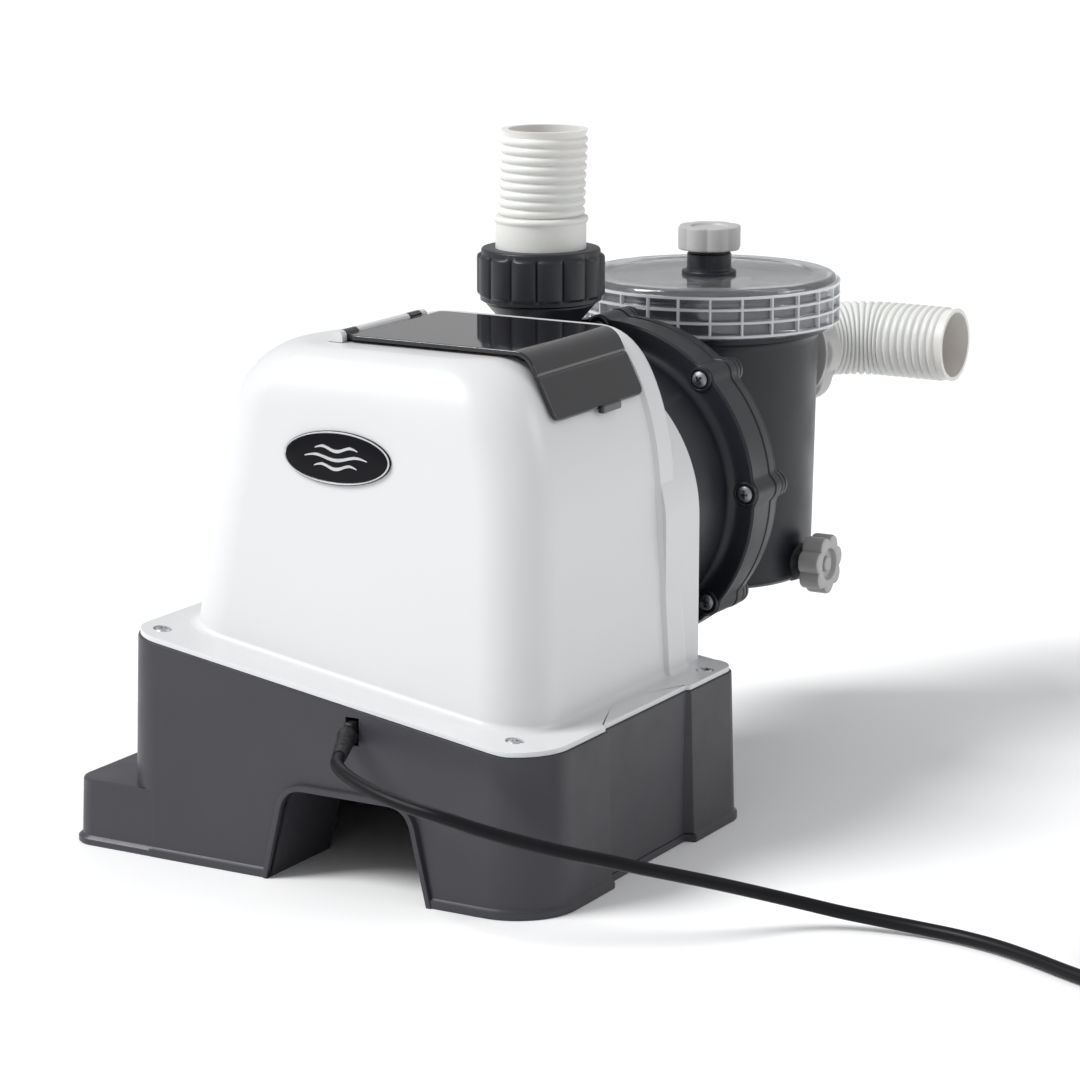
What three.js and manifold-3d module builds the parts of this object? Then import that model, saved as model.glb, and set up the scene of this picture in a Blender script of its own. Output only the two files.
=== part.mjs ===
// Salt chlorine generator for a pool: a white control housing on a dark base, with the pump motor inside it,
// and the pump, electrode chamber and strainer pot standing out behind.
// Millimetres. X runs along the front, Y towards the back, Z up.

import * as THREE from 'three';
import { mergeVertices } from 'three/addons/utils/BufferGeometryUtils.js';
import Module from 'manifold-3d';

const wasm = await Module();
wasm.setup();

// ---------------------------------------------------------------- driving dimensions

const GAP = 0.3;                       // clearance between pieces that touch
const THREAD_GAP = 0.9;                // the same where many-sided nuts and necks turn in each other
const ROUND = 24;                      // sides of a large turned piece
const PIPE = 20;                       // sides of a pipe or its union
const SMALL = 10;                      // sides of a screw or a small hole
const FINEST = 0.03;                   // surface detail smaller than this is smoothed away
const WALL = 3;                        // moulded wall thickness

const BASE = { left: -262, right: 0, front: 0, back: 228, lip: 1.5, lipHeight: 4, draft: 0.03 };
const BASE_CORNERS = [25, 35, 18, 18];  // front left, front right, back right, back left
const SHELF = { left: -292, top: 36 };  // low shelf on the left, where the filter tank's platform bolts on
const SIDE_PANEL = { front: 76, back: 165, depth: 5 };
const ARCH = { left: -165, right: -68, top: 50, lean: 13, corner: 8 };
const DECK = { low: 83.3, slope: 0.152, levelFrom: -26 };  // top of the base, which falls towards the right

const BODY = { left: -257, leftBack: -208, right: -25, front: 29, back: 203, corner: 30, backCorner: 12 };
const BODY_TOP = 270;
const BODY_SIDES = {                   // lean for each millimetre up, and the roll-over's start and width
  left: { lean: 0.115, rollFrom: 232, across: 20 },
  front: { lean: 0.1, rollFrom: 238, across: 20 },
  right: { lean: 0.06, rollFrom: 190, across: 34 },
  back: { lean: 0.03, rollFrom: 250, across: 8 },
};
const BAND = { front: 176, proud: 2.5, rise: 1.5 };  // raised band round the back of the housing
const COLLAR = { radius: 84.5, back: 216 };          // arched collar round the pump
const FLANGE = { thick: 3, inset: 1.2 };

const AXIS = { x: -110, z: 167 };      // motor and pump shaft, along Y
const DRUM = { radius: 79, inner: 76, front: 205, back: 262 };
const RING = { radius: 94, backRadius: 92.5, wall: 3.2, back: 292 };
const RING_SCREWS = { count: 8, radius: 88.8, first: 2.5, boss: 9 };
const SHAFT = 6;

const OUTLET = { x: -139, y: 241, neck: 22, bore: 18.5, thread: 28, coneTop: 272.5, top: 290 };
const OUTLET_NUT = { radius: 35.6, bottom: 273, top: 302.4, lobes: 14 };
const TAIL = { cuff: 25.2, hose: 24.2, bore: 20, cuffTop: 320, top: 368, ribPitch: 9 };

const POT = { x: -110, y: 389, radius: 64.5, floorRadius: 62, bottom: 93, top: 263, wall: 4 };
const LID = { radius: 75.3, bottom: 243.3, top: 272, ribs: 12 };
const INLET = { z: 212, back: 488, nutFront: 478, nutBack: 500, radius: 37.5, bend: 45, end: -22 };
const DRAIN_Z = 105;

const COVER = { left: -164, fold: -55, front: 80, back: 174, thick: 2.6, footX: -37.5, footZ: 240 };
const PANEL = { left: -156, right: -62, front: 88, back: 166, z: 262 };

const CORD = 6.8;                      // power cord diameter
const CORD_EXIT = { x: -114, z: 84, heading: [7.4, -19.5, -5.2], reach: 21.5 };
const COIL = { x: 322, y: 112, inner: 31.4, outer: 73.3, height: 28 };
const PLUG = { y: 168, z: 38.6, boot: 350, back: 322, front: 282, tip: 265 };

// ---------------------------------------------------------------- materials

const paints = {
  white: { color: 0xe9eaec, roughness: 0.38, metalness: 0 },
  darkGrey: { color: 0x4c4b50, roughness: 0.55, metalness: 0 },
  charcoal: { color: 0x2c2e36, roughness: 0.5, metalness: 0 },
  smoked: { color: 0x26272b, roughness: 0.12, metalness: 0 },
  clear: { color: 0xd8dce2, roughness: 0.1, metalness: 0 },
  lightGrey: { color: 0xa9a9a7, roughness: 0.6, metalness: 0 },
  ivory: { color: 0xe4e2dc, roughness: 0.55, metalness: 0 },
  black: { color: 0x121214, roughness: 0.5, metalness: 0 },
  rubber: { color: 0x1b1b1d, roughness: 0.85, metalness: 0 },
  steel: { color: 0xb9bcc0, roughness: 0.3, metalness: 1 },
  laminations: { color: 0x77797d, roughness: 0.45, metalness: 0.8 },
  titanium: { color: 0x8d8b88, roughness: 0.4, metalness: 0.9 },
  board: { color: 0x1d5a35, roughness: 0.5, metalness: 0 },
  copper: { color: 0xa8602c, roughness: 0.4, metalness: 0.7 },
  display: { color: 0x2a0d0d, roughness: 0.15, metalness: 0 },
};

// ---------------------------------------------------------------- solids

const v2 = (x, y) => new THREE.Vector2(x, y);
const v3 = (x, y, z) => new THREE.Vector3(x, y, z);
const degrees = THREE.MathUtils.degToRad;

// A closed three.js geometry as a solid, with its shared corners merged and its faces pointing out.
function solid(geometry) {
  const bare = geometry.clone();
  for (const name of Object.keys(bare.attributes)) {
    if (name !== 'position') bare.deleteAttribute(name);
  }
  const merged = mergeVertices(bare, 1e-4);
  const corners = merged.attributes.position.array;
  const triangles = [];
  for (let i = 0; i < merged.index.count; i += 3) {
    const [a, b, c] = [0, 1, 2].map((k) => merged.index.getX(i + k));
    if (a !== b && b !== c && c !== a) triangles.push(a, b, c);
  }
  if (signedVolume(corners, triangles) < 0) triangles.reverse();
  return new wasm.Manifold(new wasm.Mesh({
    numProp: 3,
    vertProperties: Float32Array.from(corners),
    triVerts: Uint32Array.from(triangles),
  }));
}

function signedVolume(corners, triangles) {
  const at = (i) => v3(corners[3 * i], corners[3 * i + 1], corners[3 * i + 2]);
  let sum = 0;
  for (let i = 0; i < triangles.length; i += 3) {
    sum += at(triangles[i]).dot(at(triangles[i + 1]).cross(at(triangles[i + 2])));
  }
  return sum / 6;
}

const join = (...pieces) => pieces.reduce((whole, piece) => whole.add(piece));
const cut = (whole, ...tools) => tools.reduce((left, tool) => left.subtract(tool), whole);

function box(x, y, z) {
  const geometry = new THREE.BoxGeometry(x[1] - x[0], y[1] - y[0], z[1] - z[0]);
  geometry.translate((x[0] + x[1]) / 2, (y[0] + y[1]) / 2, (z[0] + z[1]) / 2);
  return solid(geometry);
}

// A turned solid: profile points are [radius, height along the axis], and the axis runs through centre.
function turned(profile, axis, centre, segments = ROUND) {
  const geometry = new THREE.LatheGeometry(profile.map(([r, h]) => v2(r, h)), segments);
  if (axis === 'z') geometry.rotateX(Math.PI / 2);
  if (axis === 'x') geometry.rotateZ(-Math.PI / 2);
  geometry.translate(...centre);
  return solid(geometry);
}

const rod = (radius, from, to, axis, centre, segments = PIPE) =>
  turned([[0, from], [radius, from], [radius, to], [0, to]], axis, centre, segments);

const tube = (outer, inner, from, to, axis, centre, segments = ROUND) =>
  turned([[inner, from], [outer, from], [outer, to], [inner, to], [inner, from]], axis, centre, segments);

// An outline drawn in X and Z, pushed along Y from y0 to y1.
function along(shape, y0, y1, curveSegments = 8) {
  const geometry = new THREE.ExtrudeGeometry(shape, { depth: y1 - y0, bevelEnabled: false, curveSegments });
  geometry.rotateX(Math.PI / 2);
  geometry.translate(0, y1, 0);
  return solid(geometry);
}

const polygon = (...points) => new THREE.Shape(points.map(([x, y]) => v2(x, y)));

// A skin through equal rings of points, closed by a fan at each end.
function loft(rings) {
  const count = rings[0].length;
  const corners = rings.flat();
  const index = [];
  for (let ring = 0; ring + 1 < rings.length; ring += 1) {
    for (let i = 0; i < count; i += 1) {
      const a = ring * count + i;
      const b = ring * count + (i + 1) % count;
      index.push(a, b, b + count, a, b + count, a + count);
    }
  }
  for (const [ring, flip] of [[0, true], [rings.length - 1, false]]) {
    const middle = corners.length;
    const sum = rings[ring].reduce((total, p) => total.add(p), v3(0, 0, 0));
    corners.push(sum.divideScalar(count));
    for (let i = 0; i < count; i += 1) {
      const pair = [ring * count + i, ring * count + (i + 1) % count];
      if (flip) pair.reverse();
      index.push(middle, ...pair);
    }
  }
  const geometry = new THREE.BufferGeometry().setFromPoints(corners);
  geometry.setIndex(index);
  return solid(geometry);
}

// Points round a four-sided outline with rounded corners, anticlockwise from the front left corner.
function roundedOutline(corners, radii, z, segments = 4) {
  const points = [];
  corners.forEach((corner, i) => {
    const before = corners[(i + 3) % 4].clone().sub(corner).normalize();
    const after = corners[(i + 1) % 4].clone().sub(corner).normalize();
    const half = Math.acos(before.dot(after)) / 2;
    const middle = before.clone().add(after).normalize();
    const centre = corner.clone().addScaledVector(middle, radii[i] / Math.sin(half));
    const sweep = Math.PI - 2 * half;
    const start = middle.clone().negate().rotateAround(v2(0, 0), -sweep / 2);
    for (let step = 0; step <= segments; step += 1) {
      const arm = start.clone().rotateAround(v2(0, 0), sweep * step / segments);
      const p = centre.clone().addScaledVector(arm, radii[i]);
      points.push(v3(p.x, p.y, z));
    }
  });
  return points;
}

// A knob or nut outline whose rim swells into round lobes.
function lobed(radius, lobes, depth, sharpness = 1) {
  const points = [];
  const steps = lobes * 4;
  for (let i = 0; i < steps; i += 1) {
    const turn = 2 * Math.PI * i / steps;
    const wave = Math.abs(Math.cos(lobes * turn / 2)) ** sharpness;
    const r = radius - depth * (1 - wave);
    points.push(v2(r * Math.cos(turn), r * Math.sin(turn)));
  }
  return new THREE.Shape(points);
}

// The same, as a solid of the given length along an axis.
function lobedSolid(radius, lobes, depth, length, axis, at, sharpness) {
  const shape = lobed(radius, lobes, depth, sharpness);
  const geometry = new THREE.ExtrudeGeometry(shape, { depth: length, bevelEnabled: false });
  if (axis === 'x') geometry.rotateY(Math.PI / 2);
  if (axis === 'y') geometry.rotateX(-Math.PI / 2);
  geometry.translate(...at);
  return solid(geometry);
}

// ---------------------------------------------------------------- the machine

const machine = new THREE.Group();
const cordGroup = new THREE.Group();

function piece(name, paint, body, group = machine) {
  const mesh = body.asOriginal().simplify(FINEST).getMesh();
  const geometry = new THREE.BufferGeometry();
  geometry.setAttribute('position', new THREE.BufferAttribute(Float32Array.from(mesh.vertProperties), 3));
  geometry.setIndex(new THREE.BufferAttribute(Uint32Array.from(mesh.triVerts), 1));
  const part = new THREE.Mesh(geometry, new THREE.MeshStandardMaterial(paints[paint]));
  part.name = name;
  group.add(part);
}

const onAxis = (y = 0) => [AXIS.x, y, AXIS.z];
const deckAt = (x) => DECK.low + Math.max(0, DECK.slope * (DECK.levelFrom - x));

// Everything above the base's top surface, raised by lift.
function aboveDeck(lift) {
  const far = 400;
  const shape = polygon(
    [-far, deckAt(-far) + lift], [DECK.levelFrom, DECK.low + lift], [far, DECK.low + lift],
    [far, far], [-far, far],
  );
  return along(shape, -far, far);
}

// ---- base

function baseCorners(inset) {
  return [
    v2(BASE.left + inset, BASE.front + inset), v2(BASE.right - inset, BASE.front + inset),
    v2(BASE.right - inset, BASE.back - inset), v2(BASE.left + inset, BASE.back - inset),
  ];
}

const baseInset = (z) => BASE.lip + BASE.draft * z;
const baseRing = (z, inset) => roundedOutline(baseCorners(inset), BASE_CORNERS.map((r) => r - inset), z);
const panelRecess = (depth, grow) =>
  box([BASE.right - depth, 20], [SIDE_PANEL.front - grow, SIDE_PANEL.back + grow], [-10, 200]);
const BASE_LOFT_TOP = 130;

function shelfRing(z, inset) {
  const corners = [
    v2(SHELF.left + inset, BASE.front + inset), v2(BASE.left + 40, BASE.front + inset),
    v2(BASE.left + 40, BASE.back - inset), v2(SHELF.left + inset, BASE.back - inset),
  ];
  return roundedOutline(corners, [12, 4, 4, 12], z, 4);
}

const housingScrewSpots = [[-243, 21], [-30, 24], [-13, 199], [-244, 207]];

function archOutline(grow) {
  const left = ARCH.left - grow;
  const right = ARCH.right + grow;
  const top = ARCH.top + grow;
  const radius = ARCH.corner + grow;
  const shape = new THREE.Shape();
  shape.moveTo(left, -10);
  shape.lineTo(left + ARCH.lean - 2, top - radius);
  shape.quadraticCurveTo(left + ARCH.lean, top, left + ARCH.lean + radius, top);
  shape.lineTo(right - ARCH.lean - radius, top);
  shape.quadraticCurveTo(right - ARCH.lean, top, right - ARCH.lean + 2, top - radius);
  shape.lineTo(right, -10);
  return shape;
}

function makeBase() {
  const outer = cut(loft([
    baseRing(0, 0), baseRing(BASE.lipHeight, 0), baseRing(BASE.lipHeight + 2, baseInset(BASE.lipHeight)),
    baseRing(BASE_LOFT_TOP, baseInset(BASE_LOFT_TOP)),
  ]), aboveDeck(0), panelRecess(SIDE_PANEL.depth + 1, 0));
  const shelf = loft([
    shelfRing(0, 0), shelfRing(BASE.lipHeight, 0), shelfRing(BASE.lipHeight + 2, baseInset(BASE.lipHeight)),
    shelfRing(SHELF.top, baseInset(SHELF.top)),
  ]);
  const hollow = cut(loft([
    baseRing(-5, baseInset(0) + WALL), baseRing(BASE_LOFT_TOP, baseInset(BASE_LOFT_TOP) + WALL),
  ]), aboveDeck(-WALL), panelRecess(SIDE_PANEL.depth + 1 + WALL, WALL));
  const shelfHollow = loft([shelfRing(-5, WALL + 2), shelfRing(SHELF.top - WALL, WALL + 2)]);
  const archLip = cut(along(archOutline(3), -0.6, 4), box([-200, 0], [-10, 20], [-20, 0]));
  const posts = housingScrewSpots.map(([x, y]) => rod(5, deckAt(x) - 22, deckAt(x) - 1, 'z', [x, y, 0], SMALL));
  const postHoles = housingScrewSpots.map(
    ([x, y]) => rod(2.2, deckAt(x) - 20, deckAt(x) + 9, 'z', [x, y, 0], 8));
  const tunnel = cut(
    along(archOutline(WALL), 2, 60), along(archOutline(0), -20, 80), box([-200, 0], [-10, 90], [-20, 0]),
  );
  const ventSlots = [-230, -218, -206, -194].map((x) => box([x, x + 5], [60, 140], [80, 130]));
  const solidBase = join(cut(join(outer, shelf), join(hollow, shelfHollow)), archLip, tunnel, ...posts);
  return cut(
    solidBase,
    along(archOutline(0), -20, 30),
    rod(DRUM.radius + 2.5, 190, 240, 'y', onAxis(), ROUND),
    box([CORD_EXIT.x - 4, CORD_EXIT.x + 4], [-5, 8], [78, 92.5]),
    ...postHoles, ...ventSlots,
    ...[60, 168].map((y) => rod(4.2, 10, 50, 'z', [SHELF.left + 15, y, 0], 16)),
  );
}
piece('base', 'darkGrey', makeBase());

// ---- white housing

function bodyRing(z, insets) {
  const slant = (BODY.leftBack - BODY.left) / (BODY.back - BODY.front);
  const front = BODY.front + insets.front;
  const right = BODY.right - insets.right;
  const back = BODY.back - insets.back;
  const leftAt = (y) => BODY.left + slant * (y - BODY.front) + insets.left * Math.hypot(1, slant);
  const corners = [v2(leftAt(front), front), v2(right, front), v2(right, back), v2(leftAt(back), back)];
  return roundedOutline(corners, [BODY.corner, BODY.corner, BODY.backCorner, BODY.backCorner], z);
}

// How far one side has come in at a height: its lean, then a quarter ellipse over the shoulder.
function sideInset({ lean, rollFrom, across }, z, top) {
  const rolled = THREE.MathUtils.clamp((z - rollFrom) / (top - rollFrom), 0, 1);
  return lean * (z - DECK.low) + across * (1 - Math.sqrt(1 - rolled * rolled));
}

// The housing's shape, thinner by shrink on every side. A negative shrink is a thicker shape.
function bodyLoft(shrink, top = BODY_TOP - shrink) {
  const heights = [60, 190];
  for (let step = 1; step <= 7; step += 1) heights.push(190 + (top - 190) * Math.sin(Math.PI / 2 * step / 7));
  return loft(heights.map((z) => {
    const insets = {};
    for (const side of Object.keys(BODY_SIDES)) insets[side] = sideInset(BODY_SIDES[side], z, top) + shrink;
    return bodyRing(z, insets);
  }));
}

function archPrism(radius, y0, y1) {
  const shape = new THREE.Shape();
  shape.moveTo(AXIS.x - radius, 60);
  shape.lineTo(AXIS.x + radius, 60);
  shape.lineTo(AXIS.x + radius, AXIS.z);
  shape.absarc(AXIS.x, AXIS.z, radius, 0, Math.PI, false);
  return along(shape, y0, y1, 20);
}

function makeHousing() {
  const behind = (y) => box([-400, 200], [y, 400], [0, 400]);
  const band = bodyLoft(-BAND.proud, BODY_TOP + BAND.rise).intersect(behind(BAND.front));
  const plate = cut(
    loft([60, 125].map((z) => baseRing(z, baseInset(z) + FLANGE.inset))),
    aboveDeck(FLANGE.thick), panelRecess(SIDE_PANEL.depth + 2.5, 1.5),
  );
  const outer = join(bodyLoft(0), band, archPrism(COLLAR.radius, BAND.front, COLLAR.back));
  const inner = join(bodyLoft(WALL), archPrism(COLLAR.radius - WALL, BAND.front + WALL, COLLAR.back + 20));
  const screwHoles = housingScrewSpots.flatMap(([x, y]) => [
    rod(2.4, 60, 140, 'z', [x, y, 0], 8), rod(5, deckAt(x) + 1.2, 140, 'z', [x, y, 0], SMALL),
  ]);
  const louvres = [0, 1, 2, 3, 4, 5].map((i) => box([-300, -180], [75, 135], [130 + 9 * i, 134 + 9 * i]));
  const panelHole = box([PANEL.left, PANEL.right], [PANEL.front, PANEL.back], [240, 300]);
  return cut(
    join(outer, plate.subtract(bodyLoft(WALL))).intersect(aboveDeck(GAP)),
    inner, panelHole, rod(DRUM.radius + 2.5, 190, 260, 'y', onAxis(), ROUND), ...screwHoles, ...louvres,
  );
}
piece('upper_housing', 'white', makeHousing());

housingScrewSpots.forEach(([x, y], i) => {
  const seat = deckAt(x) + 1.5;
  const head = [[0, seat - 16], [1.9, seat - 16], [1.9, seat], [4.4, seat], [3.4, seat + 2.2], [0, seat + 2.6]];
  piece(`housing_screw_${i + 1}`, 'steel', turned(head, 'z', [x, y, 0], SMALL));
});

// The oval emblem lies on the leaning front wall.
const BADGE = { x: -145.5, z: 217, halfWidth: 32.5, halfHeight: 14, thick: 1.6 };
function makeBadge() {
  const shape = new THREE.Shape();
  shape.absellipse(0, 0, BADGE.halfWidth, BADGE.halfHeight, 0, 2 * Math.PI);
  const geometry = new THREE.ExtrudeGeometry(
    shape, { depth: BADGE.thick, bevelEnabled: false, curveSegments: 16 });
  const lean = Math.atan(BODY_SIDES.front.lean);
  geometry.translate(0, 0, GAP);
  geometry.rotateX(Math.PI / 2 - lean);
  geometry.translate(BADGE.x, BODY.front + BODY_SIDES.front.lean * (BADGE.z - DECK.low), BADGE.z);
  return solid(geometry);
}
piece('badge', 'black', makeBadge());

// ---- control panel under the flip cover

const BUTTONS = {
  names: ['lock_button', 'boost_button', 'clean_button', 'timer_button'],
  x: -143, y: 108, pitch: 22,
};
const buttonAt = (i) => [BUTTONS.x + BUTTONS.pitch * i, BUTTONS.y];
const BUTTON_RADIUS = 6.5;
const SCREEN = { left: -140, right: -96, front: 130, back: 152 };

// A box with the panel's outline, smaller by inset on each side.
const panelBox = (inset, z0, z1) => box(
  [PANEL.left + inset, PANEL.right - inset], [PANEL.front + inset, PANEL.back - inset], [z0, z1]);

function makePanel() {
  const tray = cut(
    panelBox(GAP, PANEL.z - 2.5, BODY_TOP - 0.5),
    panelBox(2.5, PANEL.z, BODY_TOP + 5),
  );
  const holes = BUTTONS.names.map((_, i) => rod(BUTTON_RADIUS + 0.4, 250, 280, 'z', [...buttonAt(i), 0], 20));
  const screen = box([SCREEN.left, SCREEN.right], [SCREEN.front, SCREEN.back], [250, 280]);
  return cut(tray, screen, ...holes);
}
piece('control_panel', 'darkGrey', makePanel());

BUTTONS.names.forEach((name, i) => {
  const low = PANEL.z - 2.5 - GAP;
  const top = PANEL.z + 2.4;
  const cap = [
    [0, low - 4], [BUTTON_RADIUS + 1.2, low - 4], [BUTTON_RADIUS + 1.2, low],
    [BUTTON_RADIUS, low], [BUTTON_RADIUS, top - 0.8], [BUTTON_RADIUS - 0.8, top], [0, top],
  ];
  piece(name, 'lightGrey', turned(cap, 'z', [...buttonAt(i), 0], 20));
});

piece('display', 'display', box(
  [SCREEN.left + GAP, SCREEN.right - GAP], [SCREEN.front + GAP, SCREEN.back - GAP], [248, PANEL.z - 0.6]));

function makeControlBoard() {
  const plate = box([PANEL.left - 2, PANEL.right + 2], [PANEL.front, PANEL.back + 2], [245.6, 247.2]);
  const chips = [[-118, 98, 12], [-82, 120, 9], [-80, 98, 6], [-86, 142, 7]].map(
    ([x, y, half]) => box([x - half, x + half], [y - 5, y + 5], [241, 246]));
  return join(plate, ...chips);
}
piece('control_board', 'board', makeControlBoard());

// ---- smoked flip cover, hinged along its left end

const HINGE = { x: COVER.left - 4, z: BODY_TOP + 3.2, pin: 1.6, barrel: 3 };
const HINGE_EARS = [[83, 95], [146, 158]];
const COVER_TOP = BODY_TOP + 4.2;

function makeCover() {
  const foot = [COVER.footX, COVER.footZ];
  const slope = Math.atan2(COVER_TOP - COVER.footZ, COVER.footX - COVER.fold);
  const [dx, dz] = [COVER.thick * Math.sin(slope), COVER.thick * Math.cos(slope)];
  const bend = COVER.thick * Math.tan(slope / 2);
  const shape = polygon(
    [COVER.left, COVER_TOP - COVER.thick], [COVER.fold - bend, COVER_TOP - COVER.thick],
    [foot[0] - dx, foot[1] - dz], foot, [COVER.fold, COVER_TOP], [COVER.left, COVER_TOP],
  );
  const ears = HINGE_EARS.map(([y0, y1]) => cut(
    join(
      rod(HINGE.barrel, y0, y1, 'y', [HINGE.x, 0, HINGE.z], 16),
      box([HINGE.x, COVER.left + 1], [y0, y1], [COVER_TOP - COVER.thick, COVER_TOP]),
    ),
    rod(HINGE.pin + GAP, y0 - 1, y1 + 1, 'y', [HINGE.x, 0, HINGE.z], 12),
  ));
  const lift = box([COVER.footX - 2, COVER.footX + 1.6], [126, 146], [COVER.footZ - 3.5, COVER.footZ + 1]);
  return join(along(shape, COVER.front, COVER.back), lift, ...ears);
}
piece('flip_cover', 'smoked', makeCover());

const pinSpan = [HINGE_EARS[0][0] - 5, HINGE_EARS[1][1] + 5];

// The block's knuckles and the pin moulded into them.
function makeHingeBlock() {
  const knuckles = [[pinSpan[0], HINGE_EARS[0][0] - 0.4], [HINGE_EARS[0][1] + 0.4, HINGE_EARS[1][0] - 0.4],
    [HINGE_EARS[1][1] + 0.4, pinSpan[1]]];
  const blocks = knuckles.map(([y0, y1]) => join(
    rod(HINGE.barrel, y0, y1, 'y', [HINGE.x, 0, HINGE.z], 16),
    box([HINGE.x - 3, HINGE.x + 3], [y0, y1], [BODY_TOP + GAP, HINGE.z]),
  ));
  const plate = box([HINGE.x - 6.5, HINGE.x - 3.4], pinSpan, [BODY_TOP + GAP, BODY_TOP + 2]);
  const bridges = knuckles.map(
    ([y0, y1]) => box([HINGE.x - 5, HINGE.x], [y0, y1], [BODY_TOP + GAP, BODY_TOP + 2]));
  return join(plate, ...blocks, ...bridges, rod(HINGE.pin, ...pinSpan, 'y', [HINGE.x, 0, HINGE.z], 12));
}
piece('cover_hinge_block', 'black', makeHingeBlock());

// ---- motor, lying along Y inside the housing

const MOTOR = { can: 52, front: 84.3, back: 176, bell: 76 };
const BEARING = { outer: 13, seat: 13.3, inner: SHAFT + GAP };

piece('motor_casing', 'darkGrey', turned(
  [[BEARING.seat, MOTOR.bell], [30, MOTOR.bell], [MOTOR.can, MOTOR.bell + 4], [MOTOR.can, MOTOR.back],
    [49, MOTOR.back], [49, MOTOR.front], [BEARING.seat, MOTOR.front], [BEARING.seat, MOTOR.bell]],
  'y', onAxis(), ROUND));
const BRACKET = { radius: 60, back: 213.7, web: 184 };
piece('motor_rear_bracket', 'charcoal', turned(
  [[BEARING.seat, MOTOR.back + GAP], [BRACKET.radius, MOTOR.back + GAP], [BRACKET.radius, BRACKET.back],
    [BRACKET.radius - 6, BRACKET.back], [BRACKET.radius - 6, BRACKET.web], [BEARING.seat, BRACKET.web],
    [BEARING.seat, MOTOR.back + GAP]], 'y', onAxis(), ROUND));
const frontBearing = [MOTOR.bell + 1, MOTOR.front - 1];
piece('front_bearing', 'steel', tube(BEARING.outer, BEARING.inner, ...frontBearing, 'y', onAxis()));
piece('rear_bearing', 'steel', tube(BEARING.outer, BEARING.inner, 177, 183.5, 'y', onAxis()));
piece('motor_shaft', 'steel', rod(SHAFT, 56, 258, 'y', onAxis()));

function makeStator() {
  const stack = tube(48.2, 28.4, 102, 154, 'y', onAxis());
  const ends = [[94, 103], [153, 162]].map(([y0, y1]) => tube(45, 31, y0, y1, 'y', onAxis()));
  return join(stack, ...ends);
}
piece('stator', 'copper', makeStator());
piece('rotor', 'laminations', tube(27.9, BEARING.inner, 104, 152, 'y', onAxis()));

function makeFan() {
  const hub = tube(13, BEARING.inner, 60, 70, 'y', onAxis());
  const disc = tube(40, 12, 68.5, 70, 'y', onAxis());
  const blades = [];
  for (let i = 0; i < 7; i += 1) {
    const blade = new THREE.BoxGeometry(28, 9, 1.6);
    blade.translate(26, 64.9, 0);
    blade.rotateY(2 * Math.PI * i / 7);
    blade.translate(...onAxis());
    blades.push(solid(blade));
  }
  return join(hub, disc, ...blades);
}
piece('cooling_fan', 'black', makeFan());

function makeCowl() {
  const cup = turned(
    [[0, 50], [42, 50], [48, 55], [48, 75.7], [46, 75.7], [46, 56], [41, 52], [0, 52]], 'y', onAxis(), ROUND);
  const slots = [];
  for (let i = -3; i <= 3; i += 1) {
    const half = Math.sqrt(36 * 36 - (i * 10) ** 2);
    slots.push(box([AXIS.x - half, AXIS.x + half], [40, 54], [AXIS.z + i * 10 - 2.2, AXIS.z + i * 10 + 2.2]));
  }
  return cut(cup, ...slots);
}
piece('fan_cowl', 'charcoal', makeCowl());

function makeCradle() {
  const x = [AXIS.x - 40, AXIS.x + 40];
  const foot = deckAt(x[0]) + GAP;
  const saddles = [[92, 104], [156, 168]].map((y) => box(x, y, [foot - 13, 140]));
  const plate = box(x, [92, 168], [foot - 13, foot + 6]);
  return cut(
    join(plate, ...saddles).intersect(aboveDeck(GAP)),
    rod(MOTOR.can + GAP, 80, 190, 'y', onAxis(), ROUND),
  );
}
piece('motor_cradle', 'rubber', makeCradle());

function makeCapacitor() {
  const can = [[0, 96], [15, 96], [15, 150], [12, 152], [0, 152]];
  const body = turned(can, 'y', [-182, 0, 195], 24);
  const tabs = [-5, 5].map((dx) => box([-183 + dx, -181 + dx], [151, 158], [192, 198]));
  return join(body, ...tabs);
}
piece('motor_capacitor', 'lightGrey', makeCapacitor());

// ---- power supply for the electrode plates

const SUPPLY = { left: -212, right: -168, front: 70, back: 126 };
function makeCore() {
  const z = [deckAt(SUPPLY.left) + 1, 152];
  const block = box([SUPPLY.left, SUPPLY.right], [SUPPLY.front + 12, SUPPLY.back - 12], z);
  const windows = [[SUPPLY.left + 8, -194], [-186, SUPPLY.right - 8]].map(
    (x) => box(x, [50, 160], [z[0] + 8, z[1] - 8]));
  return cut(block, ...windows);
}
piece('transformer_core', 'laminations', makeCore());
function makeCoil() {
  const block = box([SUPPLY.left + 8.4, SUPPLY.right - 8.4], [SUPPLY.front + 4, SUPPLY.back - 4], [121, 143.6]);
  const limb = box([-194 - GAP, -186 + GAP], [SUPPLY.front + 12 - GAP, SUPPLY.back - 12 + GAP], [100, 170]);
  return cut(block, limb);
}
piece('transformer_winding', 'copper', makeCoil());

// ---- pump: drum with the impeller, flange with the electrode chamber behind it, and the outlet neck

const screwAngles = [];
for (let i = 0; i < RING_SCREWS.count; i += 1) {
  screwAngles.push(degrees(RING_SCREWS.first + 360 / RING_SCREWS.count * i));
}
const screwSpot = (turn) => [
  AXIS.x + RING_SCREWS.radius * Math.cos(turn), 0, AXIS.z + RING_SCREWS.radius * Math.sin(turn)];

const SENSOR_AT = [OUTLET.x - 21, OUTLET.y, 252];  // the flow sensor, in the left side of the neck
const screwBosses = (y0, y1) =>
  screwAngles.map((turn) => rod(RING_SCREWS.boss, y0, y1, 'y', screwSpot(turn), SMALL));

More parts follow.
